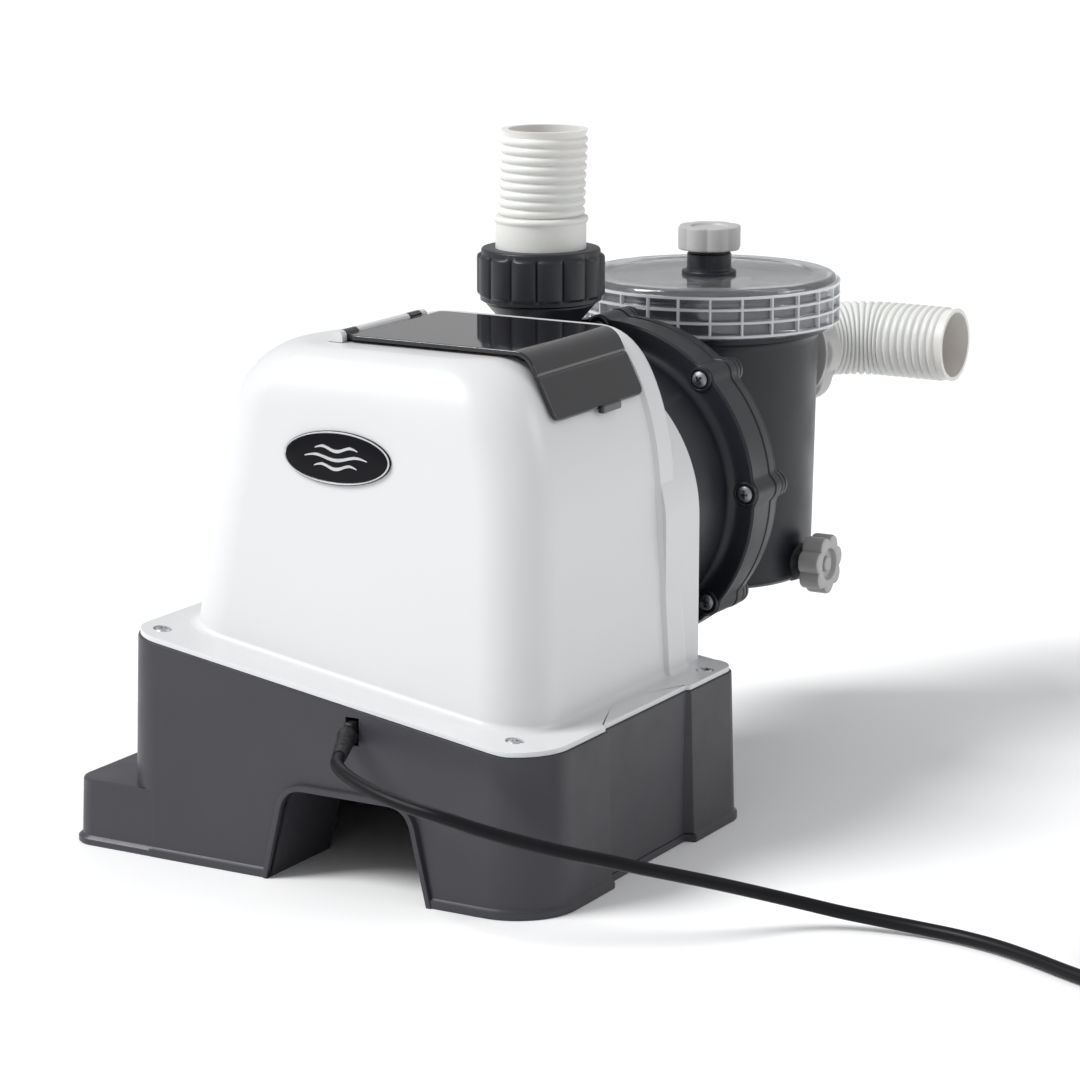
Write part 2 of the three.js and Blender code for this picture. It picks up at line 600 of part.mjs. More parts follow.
function makeVolute() {
  const drum = tube(DRUM.radius, DRUM.inner, DRUM.front, DRUM.back + 2, 'y', onAxis());
  const wall = tube(RING.radius, 21, DRUM.back, DRUM.back + 4, 'y', onAxis());
  const skirt = turned(
    [[RING.radius - RING.wall, DRUM.back + 3], [RING.radius, DRUM.back + 3], [RING.backRadius, RING.back],
      [RING.backRadius - RING.wall, RING.back], [RING.radius - RING.wall, DRUM.back + 3]], 'y', onAxis());
  const bosses = screwBosses(DRUM.back - 3, RING.back);
  const neck = turned(
    [[0, 215], [OUTLET.neck, 215], [OUTLET.neck, 262], [30.5, OUTLET.coneTop - 1], [30.5, OUTLET.coneTop],
      [OUTLET.thread, OUTLET.coneTop], [OUTLET.thread, OUTLET.top], [0, OUTLET.top]],
    'z', [OUTLET.x, OUTLET.y, 0], PIPE);
  const drumInside = rod(DRUM.inner, DRUM.front - 5, DRUM.back, 'y', onAxis(), ROUND);
  const holes = screwAngles.flatMap((turn) => [
    rod(2.6, 240, 300, 'y', screwSpot(turn), 6), rod(5.4, 250, DRUM.back + 1, 'y', screwSpot(turn), SMALL)]);
  return cut(
    join(drum, wall, skirt, ...bosses, neck), drumInside,
    rod(OUTLET.bore, 190, 320, 'z', [OUTLET.x, OUTLET.y, 0]),
    rod(4.4, -20, 6, 'x', SENSOR_AT, SMALL), ...holes,
  );
}
piece('pump_volute', 'charcoal', makeVolute());

piece('seal_plate', 'charcoal', tube(DRUM.inner - GAP, 14, 214, 219, 'y', onAxis()));
piece('shaft_seal', 'rubber', tube(13.7, BEARING.inner, 211, 223, 'y', onAxis()));

function makeImpeller() {
  const hub = tube(13, BEARING.inner, 228, 246, 'y', onAxis());
  const disc = tube(50, 12, 234, 236.5, 'y', onAxis(), ROUND);
  const shroud = tube(50, 20, 246, 248, 'y', onAxis(), ROUND);
  const vanes = [];
  for (let i = 0; i < 6; i += 1) {
    const vane = new THREE.BoxGeometry(30, 10.2, 2);
    vane.rotateY(degrees(-35));
    vane.translate(31, 241.2, 0);
    vane.rotateY(2 * Math.PI * i / 6);
    vane.translate(...onAxis());
    vanes.push(solid(vane));
  }
  return join(hub, disc, shroud, ...vanes);
}
piece('impeller', 'ivory', makeImpeller());

function makeElectrodes() {
  const count = 7;
  const pitch = 8;
  const plates = [];
  for (let i = 0; i < count; i += 1) {
    const x = AXIS.x + pitch * (i - (count - 1) / 2);
    plates.push(box([x - 0.6, x + 0.6], [270, 288], [AXIS.z - 50, AXIS.z + 50]));
  }
  const reach = pitch * count / 2;
  const ties = [-42, 38].map((dz) =>
    box([AXIS.x - reach, AXIS.x + reach], [277, 281], [AXIS.z + dz, AXIS.z + dz + 4]));
  return join(...plates, ...ties);
}
piece('electrode_plates', 'titanium', makeElectrodes());

screwAngles.forEach((turn, i) => {
  const profile = [[0, 259.6], [4.4, 259.6], [4.8, 260.6], [4.8, 262.7], [2.2, 262.7], [2.2, 300], [0, 300]];
  piece(`ring_screw_${i + 1}`, 'steel', turned(profile, 'y', screwSpot(turn), 10));
});

piece('flow_sensor', 'black', join(rod(4, -12, 8, 'x', SENSOR_AT, SMALL), rod(8, -9, -2, 'x', SENSOR_AT, 6)));

// ---- outlet union

function makeOutletNut() {
  const body = lobedSolid(OUTLET_NUT.radius, OUTLET_NUT.lobes, 2.2, OUTLET_NUT.top - OUTLET_NUT.bottom, 'z',
    [OUTLET.x, OUTLET.y, OUTLET_NUT.bottom], 0.6);
  return cut(
    body, rod(OUTLET.thread + THREAD_GAP, 260, 297, 'z', [OUTLET.x, OUTLET.y, 0]),
    rod(TAIL.cuff + THREAD_GAP, 290, 310, 'z', [OUTLET.x, OUTLET.y, 0]),
  );
}
piece('outlet_nut', 'charcoal', makeOutletNut());
piece('outlet_gasket', 'rubber', tube(26.5, 19, OUTLET.top + GAP, 292.6, 'z', [OUTLET.x, OUTLET.y, 0], PIPE));

function makeOutletTail() {
  const outer = [[TAIL.bore, 293], [27.8, 293], [27.8, 296.4], [TAIL.cuff, 296.4], [TAIL.cuff, TAIL.cuffTop]];
  for (let z = TAIL.cuffTop; z < TAIL.top - 8; z += TAIL.ribPitch) {
    outer.push([TAIL.hose - 1.6, z], [TAIL.hose, z + TAIL.ribPitch * 0.55]);
  }
  outer.push([TAIL.hose - 1.6, TAIL.top - 5], [TAIL.hose, TAIL.top - 4], [TAIL.hose, TAIL.top]);
  outer.push([TAIL.bore, TAIL.top], [TAIL.bore, 293]);
  return turned(outer, 'z', [OUTLET.x, OUTLET.y, 0], PIPE);
}
piece('outlet_hose_tail', 'ivory', makeOutletTail());

// ---- strainer

const potAt = (z = 0) => [POT.x, POT.y, z];
const THROAT = { outer: 44, bore: 39, joint: 322 };
const PORT = { neck: 22, bore: 18.5, thread: 28, threadFrom: 464, joint: 458.4 };

// The front of the strainer: a plate screwed to the pump's ring, and the first half of the throat.
function makeStrainerFront() {
  const plate = rod(RING.backRadius - 1, RING.back + GAP, RING.back + 5, 'y', onAxis(), ROUND);
  const bosses = screwBosses(RING.back + GAP, RING.back + 11);
  const throat = rod(THROAT.outer, RING.back + 2, THROAT.joint, 'y', onAxis(), ROUND);
  const holes = screwAngles.map((turn) => rod(2.6, 280, 301, 'y', screwSpot(turn), 6));
  return cut(join(plate, ...bosses, throat), rod(THROAT.bore, 280, 380, 'y', onAxis(), ROUND), ...holes);
}
piece('strainer_front', 'charcoal', makeStrainerFront());

function makeStrainerPot() {
  const throat = rod(THROAT.outer, THROAT.joint + GAP, 345, 'y', onAxis(), ROUND);
  const shell = turned(
    [[0, POT.bottom], [POT.floorRadius - 4, POT.bottom], [POT.floorRadius, POT.bottom + 4], [POT.radius, 236],
      [69, 239], [69.4, POT.top], [0, POT.top]], 'z', potAt(), ROUND);
  const thread = turned(
    [[60, 252], [69, 252], [71, 253], [71, 254.4], [69, 255.4], [60, 255.4], [60, 252]], 'z', potAt(), ROUND);
  const portRoot = rod(PORT.neck, 430, PORT.joint, 'y', [POT.x, 0, INLET.z]);
  const drain = rod(9.5, 50, 68, 'x', [POT.x, POT.y, DRAIN_Z]);
  const insideRadius = POT.radius - POT.wall;
  const floor = POT.bottom + POT.wall;
  const inside = turned(
    [[0, floor], [POT.floorRadius - POT.wall, floor], [insideRadius, 236], [insideRadius, POT.top + 10],
      [0, POT.top + 10]], 'z', potAt(), ROUND);
  return cut(
    join(throat, shell, thread, portRoot, drain),
    inside, rod(THROAT.bore, 280, 380, 'y', onAxis(), ROUND),
    rod(PORT.bore, 400, 500, 'y', [POT.x, 0, INLET.z]), rod(5.4, 40, 80, 'x', [POT.x, POT.y, DRAIN_Z], 16),
  );
}
piece('strainer_body', 'charcoal', makeStrainerPot());

function makeInletPort() {
  const neck = rod(PORT.neck, PORT.joint + GAP, INLET.back, 'y', [POT.x, 0, INLET.z]);
  const thread = rod(PORT.thread, PORT.threadFrom, INLET.back, 'y', [POT.x, 0, INLET.z]);
  return cut(join(neck, thread), rod(PORT.bore, 400, 500, 'y', [POT.x, 0, INLET.z]));
}
piece('inlet_port', 'charcoal', makeInletPort());

function makeBasket() {
  const shell = turned(
    [[0, 101], [51, 101], [55.5, 246], [60, 246], [60, 249], [53.5, 249], [49.2, 103], [0, 103]], 'z', potAt());
  const windows = [];
  for (let row = 0; row < 2; row += 1) {
    for (let i = 0; i < 4; i += 1) {
      const slot = new THREE.BoxGeometry(130, 18, 50);
      slot.rotateZ(Math.PI * (i + 0.5) / 4);
      slot.translate(POT.x, POT.y, 140 + 66 * row);
      windows.push(solid(slot));
    }
  }
  const grip = join(
    box([POT.x - 3, POT.x + 3], [POT.y - 50, POT.y + 50], [256, 259]),
    ...[-50, 47].map((dy) => box([POT.x - 3, POT.x + 3], [POT.y + dy, POT.y + dy + 3], [240, 259])),
  );
  const bridges = [-56, 46].map((dy) => box([POT.x - 3, POT.x + 3], [POT.y + dy, POT.y + dy + 10], [246, 249]));
  return join(cut(shell, ...windows), grip, ...bridges);
}
piece('strainer_basket', 'lightGrey', makeBasket());

piece('lid_seal', 'rubber', tube(68.6, 61.5, POT.top + GAP, 267.6, 'z', potAt(), ROUND));

function makeLid() {
  const shell = turned(
    [[6.2, 268], [72.3, 268], [72.3, LID.bottom], [LID.radius, LID.bottom], [LID.radius, 269],
      [LID.radius - 3, LID.top], [60, LID.top], [58, LID.top - 1.2], [16, LID.top - 1.2], [12.5, LID.top],
      [12.5, 283], [6.2, 283], [6.2, 268]],
    'z', potAt(), 32);
  const ribs = [];
  for (let i = 0; i < LID.ribs; i += 1) {
    const rib = new THREE.BoxGeometry(2, 2.2, 26);
    rib.translate(LID.radius - 0.2, 0, LID.bottom + 13.2);
    rib.rotateZ(2 * Math.PI * i / LID.ribs);
    rib.translate(...potAt());
    ribs.push(solid(rib));
  }
  return join(shell, ...ribs);
}
piece('strainer_lid', 'clear', makeLid());

piece('air_release_knob', 'lightGrey', join(
  lobedSolid(18.8, 8, 1.6, 14, 'z', potAt(285.3), 1), rod(5.8, 262, 286, 'z', potAt(), 16)));

piece('drain_knob', 'lightGrey', join(
  lobedSolid(17.7, 7, 3.2, 13, 'x', [POT.x + 68.4, POT.y, DRAIN_Z], 1),
  rod(5, 58, 70, 'x', [POT.x, POT.y, DRAIN_Z], 16)));

// ---- inlet union

function makeInletNut() {
  const at = [POT.x, INLET.nutFront, INLET.z];
  const body = lobedSolid(INLET.radius, 8, 3.5, INLET.nutBack - INLET.nutFront, 'y', at, 1);
  return cut(body, rod(PORT.thread + THREAD_GAP, 470, 493, 'y', [POT.x, 0, INLET.z]),
    rod(TAIL.cuff - 2 + THREAD_GAP, 480, 510, 'y', [POT.x, 0, INLET.z]));
}
piece('inlet_nut', 'lightGrey', makeInletNut());

// A plain elbow from the inlet nut round to the right.
function makeInletTail() {
  const path = new THREE.CurvePath();
  const start = v3(POT.x, 491, INLET.z);
  const bendStart = v3(POT.x, 506, INLET.z);
  path.add(new THREE.LineCurve3(start, bendStart));
  const round = 0.5523 * INLET.bend;
  const corner = v3(POT.x + INLET.bend, 506 + INLET.bend, INLET.z);
  path.add(new THREE.CubicBezierCurve3(
    bendStart, v3(POT.x, 506 + round, INLET.z), v3(corner.x - round, corner.y, INLET.z), corner));
  path.add(new THREE.LineCurve3(corner, v3(INLET.end, corner.y, INLET.z)));
  const sweep = (radius) => {
    const ring = new THREE.Shape();
    ring.absarc(0, 0, radius, 0, 2 * Math.PI);
    return solid(new THREE.ExtrudeGeometry(
      ring, { steps: 10, extrudePath: path, curveSegments: 8, bevelEnabled: false }));
  };
  const flange = tube(27.8, 19, 488.6, 492.5, 'y', [POT.x, 0, INLET.z], 16);
  return join(cut(sweep(23), sweep(20)), flange);
}
piece('inlet_hose_tail', 'ivory', makeInletTail());

// ---- power cord

const CLIP = 3.6;                      // half the width of the strain relief where it sits in the base's slot

// A clip in the slot, and a tapered sleeve that leans down and to the right.
function makeStrainRelief() {
  const profile = [v2(0, -1), v2(5.6, -1), v2(5.6, 2), v2(4.2, CORD_EXIT.reach), v2(0, CORD_EXIT.reach)];
  const sleeve = new THREE.LatheGeometry(profile, 16);
  const heading = v3(...CORD_EXIT.heading).normalize();
  sleeve.applyQuaternion(new THREE.Quaternion().setFromUnitVectors(v3(0, 1, 0), heading));
  sleeve.translate(CORD_EXIT.x, 0, CORD_EXIT.z);
  const clip = box([CORD_EXIT.x - CLIP, CORD_EXIT.x + CLIP], [-0.5, 7], [79, 91.6]);
  const outside = box([CORD_EXIT.x - 20, CORD_EXIT.x + 20], [-40, -0.3], [50, 120]);
  return join(solid(sleeve).intersect(outside), clip);
}
piece('strain_relief', 'rubber', makeStrainRelief());

// From the strain relief round in front of the base, down to the floor and along it to the coil.
const CORD_ROUTE = [
  [-106.4, -20.1, 78.6], [-104.6, -24.8, 77.4], [-100.5, -29, 76], [-93.5, -33.5, 74.7], [-83, -38.3, 73],
  [-69, -43, 71], [-53.5, -46, 69], [-40, -46.6, 67.2], [-28, -44.5, 64.7], [-12, -38, 59.5], [6, -29, 54],
  [23, -19, 49], [38, -8, 44.5], [53, 5, 39], [67, 20, 33], [81, 36, 26.5], [95, 51, 20], [111, 64, 14],
  [129, 74, 9], [148, 80, 6], [168, 83, 4.2], [190, 82, 3.8], [212, 77, 3.8], [233, 69, 3.8], [253, 60, 3.8],
  [272, 52.5, 3.8],
];

function makeCord() {
  const section = new THREE.Shape();
  section.absarc(0, 0, CORD / 2, 0, 2 * Math.PI);
  const path = new THREE.CatmullRomCurve3(CORD_ROUTE.map((p) => v3(...p)));
  return solid(new THREE.ExtrudeGeometry(
    section, { steps: 30, extrudePath: path, curveSegments: 4, bevelEnabled: false }));
}
piece('power_cord', 'black', makeCord(), cordGroup);

piece('cord_coil', 'black', turned(
  [[COIL.inner, 4], [COIL.inner + 4, 0.2], [COIL.outer - 4, 0.2], [COIL.outer, 4],
    [COIL.outer, COIL.height - 4], [COIL.outer - 4, COIL.height], [COIL.inner + 4, COIL.height],
    [COIL.inner, COIL.height - 4], [COIL.inner, 4]],
  'z', [COIL.x, COIL.y, 0], 24), cordGroup);

function makePlug() {
  const body = box([PLUG.front, PLUG.back], [PLUG.y - 13.5, PLUG.y + 13.5], [PLUG.z - 10, PLUG.z + 10]);
  const boot = turned([[0, 0], [6.5, 0], [4.4, PLUG.boot - PLUG.back], [0, PLUG.boot - PLUG.back]], 'x',
    [PLUG.back - 0.5, PLUG.y, PLUG.z], 12);
  const blades = [-6.35, 6.35].map((dy) => box(
    [PLUG.tip, PLUG.front + 1], [PLUG.y + dy - 0.8, PLUG.y + dy + 0.8], [PLUG.z - 1, PLUG.z + 5.3]));
  const earth = rod(2.4, PLUG.tip - 2, PLUG.front + 1, 'x', [0, PLUG.y, PLUG.z - 6.5], 10);
  return join(body, boot, ...blades, earth);
}
piece('plug', 'black', makePlug(), cordGroup);

// ---- the origin is on the floor under the middle of the machine, without its cord

const extent = new THREE.Box3().setFromObject(machine);
const middle = extent.getCenter(v3(0, 0, 0));
machine.add(cordGroup);
machine.position.set(-middle.x, -middle.y, -extent.min.z);

export default machine;
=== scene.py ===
"""Looks of a pool salt chlorine generator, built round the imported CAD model.

Lengths in this file are millimetres in the machine's own axes, from the floor under the front right
corner of the base: x runs along the front (the machine lies at negative x), y towards the back, z up.
at() turns them into the scene's metres.
"""
from math import atan, cos, hypot, pi, radians, sin, sqrt, tan

import bmesh
import bpy
from mathutils import Matrix, Vector


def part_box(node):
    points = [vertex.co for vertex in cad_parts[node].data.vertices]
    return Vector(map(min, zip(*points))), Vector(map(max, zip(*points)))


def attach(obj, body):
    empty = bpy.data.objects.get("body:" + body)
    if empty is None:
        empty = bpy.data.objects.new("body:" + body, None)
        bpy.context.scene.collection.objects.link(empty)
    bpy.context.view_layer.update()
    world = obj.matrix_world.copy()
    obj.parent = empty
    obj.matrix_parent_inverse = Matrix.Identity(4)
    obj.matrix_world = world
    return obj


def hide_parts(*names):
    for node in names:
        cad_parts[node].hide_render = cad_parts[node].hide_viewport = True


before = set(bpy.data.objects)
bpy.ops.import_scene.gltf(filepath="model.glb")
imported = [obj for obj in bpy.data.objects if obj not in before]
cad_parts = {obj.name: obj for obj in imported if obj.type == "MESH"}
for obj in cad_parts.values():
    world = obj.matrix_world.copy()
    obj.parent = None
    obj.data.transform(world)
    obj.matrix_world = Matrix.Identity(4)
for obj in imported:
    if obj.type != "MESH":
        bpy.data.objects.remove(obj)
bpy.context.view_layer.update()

# ---------------------------------------------------------------- the frame

MM = 0.001
ARCH_LIP = 0.6          # how far the lip round the arch stands in front of the base
BASE_LOW, BASE_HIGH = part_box("base")
CORNER = Vector((BASE_HIGH.x, BASE_LOW.y + ARCH_LIP * MM, 0))


def at(x, y, z):
    """A point of the machine in the scene's metres."""
    return CORNER + Vector((x, y, z)) * MM


# ---------------------------------------------------------------- camera, floor and light

LENS = 120.2
CAMERA_AT = (845, -1481.4, 580.9)
CAMERA_PITCH = 12.64    # degrees below level
CAMERA_TURN = 29.82     # degrees to the left of straight along y
CAMERA_SHIFT = 0.0039

WORLD_STRENGTH = 0.56
KEY_POWER = 2.9
KEY_SPREAD = 26         # degrees the key light covers, for a soft shadow
KEY_HEADING = (0.5, 0.5, -0.75)


def link(obj):
    bpy.context.scene.collection.objects.link(obj)
    return obj


def make_camera():
    data = bpy.data.cameras.new("camera")
    data.sensor_width = 36
    data.lens = LENS
    data.shift_x = CAMERA_SHIFT
    data.clip_end = 100
    camera = link(bpy.data.objects.new("camera", data))
    camera.location = at(*CAMERA_AT)
    camera.rotation_euler = (radians(90 - CAMERA_PITCH), 0, radians(CAMERA_TURN))
    bpy.context.scene.camera = camera


def make_light(name, place, target, size, power):
    data = bpy.data.lights.new(name, "AREA")
    data.shape = "DISK"
    data.size = size
    data.energy = power
    lamp = link(bpy.data.objects.new(name, data))
    lamp.location = place
    lamp.rotation_euler = (Vector(target) - Vector(place)).to_track_quat("-Z", "Y").to_euler()


def make_key():
    """A broad, distant lamp from the upper left front, for an even floor and a soft shadow."""
    data = bpy.data.lights.new("key", "SUN")
    data.energy = KEY_POWER
    data.angle = radians(KEY_SPREAD)
    key = link(bpy.data.objects.new("key", data))
    key.rotation_euler = Vector(KEY_HEADING).to_track_quat("-Z", "Y").to_euler()


def make_studio():
    world = bpy.data.worlds.new("studio")
    world.use_nodes = True
    world.node_tree.nodes["Background"].inputs["Color"].default_value = (0.985, 0.99, 1, 1)
    world.node_tree.nodes["Background"].inputs["Strength"].default_value = WORLD_STRENGTH
    bpy.context.scene.world = world
    make_key()
    middle = (0, 0, 0.15)
    make_light("front", (-1.5, -1.9, 1.5), middle, 0.9, 2)
    make_light("edge", (1.9, 0.9, 1.1), middle, 0.9, 8)
    bpy.context.scene.view_settings.view_transform = "Standard"
    half = 30
    mesh = bpy.data.meshes.new("floor")
    mesh.from_pydata([(-half, -half, 0), (half, -half, 0), (half, half, 0), (-half, half, 0)], [],
                     [(0, 1, 2, 3)])
    floor = link(bpy.data.objects.new("floor", mesh))
    floor.data.materials.append(floor_paint())


# ---------------------------------------------------------------- materials

class Paint:
    """A material's node tree, with short calls for the nodes that the materials here share."""

    def __init__(self, name):
        self.material = bpy.data.materials.new(name)
        self.material.use_nodes = True
        self.tree = self.material.node_tree
        self.shader = self.tree.nodes["Principled BSDF"]
        self.place = self.add("ShaderNodeTexCoord").outputs["Object"]

    def add(self, kind, links=(), **values):
        made = self.tree.nodes.new(kind)
        for name, value in values.items():
            setattr(made, name, value)
        for socket, source in dict(links).items():
            if isinstance(source, bpy.types.NodeSocket):
                self.tree.links.new(source, made.inputs[socket])
            else:
                made.inputs[socket].default_value = source
        return made

    def noise(self, scale, detail=3.0, place=None):
        source = place or self.place
        return self.add("ShaderNodeTexNoise", {"Vector": source, "Scale": scale,
                                               "Detail": detail}).outputs["Fac"]

    def spread(self, value, low, high, start=0.3, end=0.7):
        ranged = self.add("ShaderNodeMapRange", {
            "Value": value, "From Min": start, "From Max": end, "To Min": low, "To Max": high})
        return ranged.outputs["Result"]

    def mix(self, share, first, second):
        made = self.add("ShaderNodeMix", data_type="RGBA")
        for socket, source in ((made.inputs[0], share), (made.inputs[6], first), (made.inputs[7], second)):
            if isinstance(source, bpy.types.NodeSocket):
                self.tree.links.new(source, socket)
            elif isinstance(source, tuple):
                socket.default_value = (*source, 1)
            else:
                socket.default_value = source
        return made.outputs[2]

    def bump(self, height, strength, distance, normal=None):
        links = {"Height": height, "Strength": strength, "Distance": distance}
        if normal is not None:
            links["Normal"] = normal
        return self.add("ShaderNodeBump", links).outputs["Normal"]

    def connect(self, **sources):
        for name, source in sources.items():
            self.tree.links.new(source, self.shader.inputs[name.replace("_", " ")])

    def uniform(self, **values):
        for name, value in values.items():
            self.shader.inputs[name.replace("_", " ")].default_value = value


def shade(colour, factor):
    return tuple(min(1.0, c * factor) for c in colour)


def plastic(name, colour, rough, grain=1100, grain_depth=0.012, cloud=0.04, **uniform):
    """Moulded plastic: faint clouding, uneven gloss and a fine moulded grain."""
    paint = Paint(name)
    clouds = paint.spread(paint.noise(14), 0, 1)
    body = paint.mix(clouds, shade(colour, 1 - cloud), shade(colour, 1 + cloud))
    smears = paint.spread(paint.noise(38, 5), rough * 0.85, rough * 1.18)
    fine = paint.noise(grain, 2)
    broad = paint.bump(paint.noise(24, 1), 0.05, 0.001)
    paint.connect(Base_Color=body, Roughness=smears, Normal=paint.bump(fine, 1.0, grain_depth * MM, broad))
    paint.uniform(**uniform)
    return paint.material


def rubber(name, colour):
    """Soft rubber: matt, faintly dusty, with a pebbled skin."""
    paint = Paint(name)
    dust = paint.spread(paint.noise(60, 6), 0, 0.35, 0.45, 0.75)
    body = paint.mix(dust, colour, shade(colour, 2.2))
    paint.connect(
        Base_Color=body, Roughness=paint.spread(paint.noise(90), 0.42, 0.6),
        Normal=paint.bump(paint.noise(1500, 2), 1.0, 0.02 * MM))
    paint.uniform(Specular_IOR_Level=0.45)
    return paint.material


def metal(name, colour, rough, stretch=(40, 40, 1600)):
    """Metal with fine drawn lines along one direction and a little tarnish."""
    paint = Paint(name)
    lines = paint.add("ShaderNodeMapping", {"Vector": paint.place, "Scale": stretch}).outputs["Vector"]
    streaks = paint.noise(1.0, 4, lines)
    tarnish = paint.spread(paint.noise(120, 4), 0, 0.5, 0.5, 0.8)
    paint.connect(
        Base_Color=paint.mix(tarnish, colour, shade(colour, 0.72)),
        Roughness=paint.spread(streaks, rough * 0.7, rough * 1.4),
        Normal=paint.bump(streaks, 0.25, 0.01 * MM))
    paint.uniform(Metallic=1.0)
    return paint.material


def clear(name, tint, rough, **uniform):
    """See-through moulded plastic with faint flow lines."""
    paint = Paint(name)
    flow = paint.noise(45, 3)
    paint.connect(
        Roughness=paint.spread(paint.noise(30), rough * 0.6, rough * 1.6),
        Base_Color=paint.mix(paint.spread(paint.noise(20), 0, 1), tint, shade(tint, 0.97)),
        Normal=paint.bump(flow, 0.2, 0.15 * MM))
    paint.uniform(IOR=1.49, **uniform)
    return paint.material


def windings(name, colour):
    """Enamelled wire laid side by side, with painted shade darkening the grooves between the wires."""
    paint = Paint(name)
    wires = paint.add("ShaderNodeTexWave", {"Vector": paint.place, "Scale": 260.0, "Distortion": 1.2})
    # painted shade: the colour drops to 35 per cent in the wave's troughs, the grooves between wires
    paint.connect(
        Base_Color=paint.mix(wires.outputs["Fac"], shade(colour, 0.35), colour),
        Roughness=paint.spread(paint.noise(80), 0.3, 0.5),
        Normal=paint.bump(wires.outputs["Fac"], 0.8, 0.3 * MM))
    paint.uniform(Metallic=0.6)
    return paint.material


def circuit(name):
    """Green solder mask over paler tracks."""
    paint = Paint(name)
    tracks = paint.add("ShaderNodeTexBrick", {
        "Vector": paint.place, "Scale": 190.0, "Mortar Size": 0.06,
        "Color1": (0.01, 0.09, 0.035, 1), "Color2": (0.012, 0.11, 0.04, 1), "Mortar": (0.05, 0.25, 0.1, 1)})
    paint.connect(
        Base_Color=tracks.outputs["Color"], Roughness=paint.spread(paint.noise(60), 0.25, 0.45),
        Normal=paint.bump(tracks.outputs["Fac"], 0.4, 0.05 * MM))
    return paint.material


def glow(name, colour, strength):
    """A lit display segment, a little uneven."""
    paint = Paint(name)
    paint.connect(
        Base_Color=paint.mix(paint.spread(paint.noise(300), 0, 1), colour, shade(colour, 0.7)),
        Roughness=paint.spread(paint.noise(90), 0.3, 0.5))
    paint.uniform(Emission_Color=(*colour, 1), Emission_Strength=strength)
    return paint.material


def floor_paint():
    paint = Paint("floor_paint")
    paint.connect(
        Base_Color=paint.mix(paint.spread(paint.noise(2), 0, 1), (0.91, 0.912, 0.916),
                             (0.925, 0.927, 0.93)), Roughness=paint.spread(paint.noise(9), 0.55, 0.7))
    paint.uniform(Specular_IOR_Level=0.25)
    return paint.material


# Plastics: colour, roughness, the grain's scale and its depth in millimetres, clouding.
WHITE = plastic("white_plastic", (0.64, 0.645, 0.655), 0.36, 700, 0.006, 0.008, Coat_Weight=0.08,
                Coat_Roughness=0.2)
DARK = plastic("dark_grey_plastic", (0.038, 0.036, 0.044), 0.38, 900, 0.02, 0.06, Specular_IOR_Level=0.4)
CHARCOAL = plastic("charcoal_plastic", (0.011, 0.012, 0.017), 0.38, 1000, 0.014, 0.08,
                   Specular_IOR_Level=0.42)
KNOB = plastic("knob_plastic", (0.42, 0.42, 0.415), 0.45, 900, 0.02, 0.05)
IVORY = plastic("hose_plastic", (0.68, 0.675, 0.655), 0.42, 600, 0.015, 0.03, Subsurface_Weight=0.06)
BLACK = plastic("black_plastic", (0.008, 0.008, 0.01), 0.25, 1200, 0.006, 0.1)
GLOSS_BLACK = plastic("badge_lacquer", (0.006, 0.006, 0.008), 0.2, 600, 0.002, 0.1, Specular_IOR_Level=0.12)
LAMP_WINDOW = plastic("display_window", (0.03, 0.008, 0.008), 0.12, 700, 0.002, 0.1, Coat_Weight=0.5)
RUBBER = rubber("black_rubber", (0.006, 0.006, 0.007))
CORD_SKIN = plastic("cord_skin", (0.006, 0.0055, 0.007), 0.42, 1500, 0.01, 0.1, Specular_IOR_Level=0.15)
SMOKED = clear("smoked_plastic", (0.016, 0.016, 0.019), 0.05, Transmission_Weight=0.35, Coat_Weight=0.25)
CLEAR = clear("clear_plastic", (0.97, 0.98, 1.0), 0.05, Transmission_Weight=0.95)
FROSTED = clear("rubbed_clear_plastic", (0.88, 0.89, 0.93), 0.16, Transmission_Weight=0.4)
STEEL = metal("stainless_steel", (0.62, 0.63, 0.65), 0.24)
DULL_STEEL = metal("steel_sheet", (0.3, 0.31, 0.33), 0.42)
ENAMEL = plastic("grey_enamel", (0.1, 0.105, 0.115), 0.4, 500, 0.03, 0.06)
TITANIUM = metal("coated_titanium", (0.36, 0.35, 0.34), 0.4)
NICKEL = metal("plated_brass", (0.6, 0.58, 0.54), 0.22)
SILVER = metal("badge_silver", (0.7, 0.7, 0.72), 0.2, (300, 300, 300))
COPPER = windings("copper_windings", (0.5, 0.2, 0.08))
BOARD = circuit("circuit_board")
LIT = glow("lit_red", (0.9, 0.06, 0.03), 2.0)


# ---------------------------------------------------------------- mesh helpers

TURN = 2 * pi


def skin(rings, closed=False, caps=True):
    """A mesh through equal rings of points, its ends capped, or its last ring joined to its first."""
    mesh = bmesh.new()
    rows = [[mesh.verts.new(point) for point in ring] for ring in rings]
    following = rows[1:] + ([rows[0]] if closed else [])
    for row, other in zip(rows, following):
        for i in range(len(row)):
            j = (i + 1) % len(row)
            mesh.faces.new((row[i], row[j], other[j], other[i]))
    if caps and not closed:
        mesh.faces.new(rows[0][::-1])
        mesh.faces.new(rows[-1])
    bmesh.ops.recalc_face_normals(mesh, faces=mesh.faces)
    return mesh


def basis(axis):
    """Two directions across an axis, and the axis, as unit vectors."""
    along = Vector(axis).normalized()
    side = Vector((0, 0, 1)) if abs(along.z) < 0.9 else Vector((1, 0, 0))
    across = (side - along * side.dot(along)).normalized()
    return across, along.cross(across), along


def ring(centre, axis, radius, sides, height=0.0, spread=None):
    """A round ring, or one whose radius at each angle is spread(angle)."""
    across, other, along = basis(axis)
    points = []
    for i in range(sides):
        turn = TURN * i / sides
        reach = spread(turn) if spread else radius
        arm = across * (reach * cos(turn)) + other * (reach * sin(turn))
        points.append(Vector(centre) + arm + along * height)
    return points


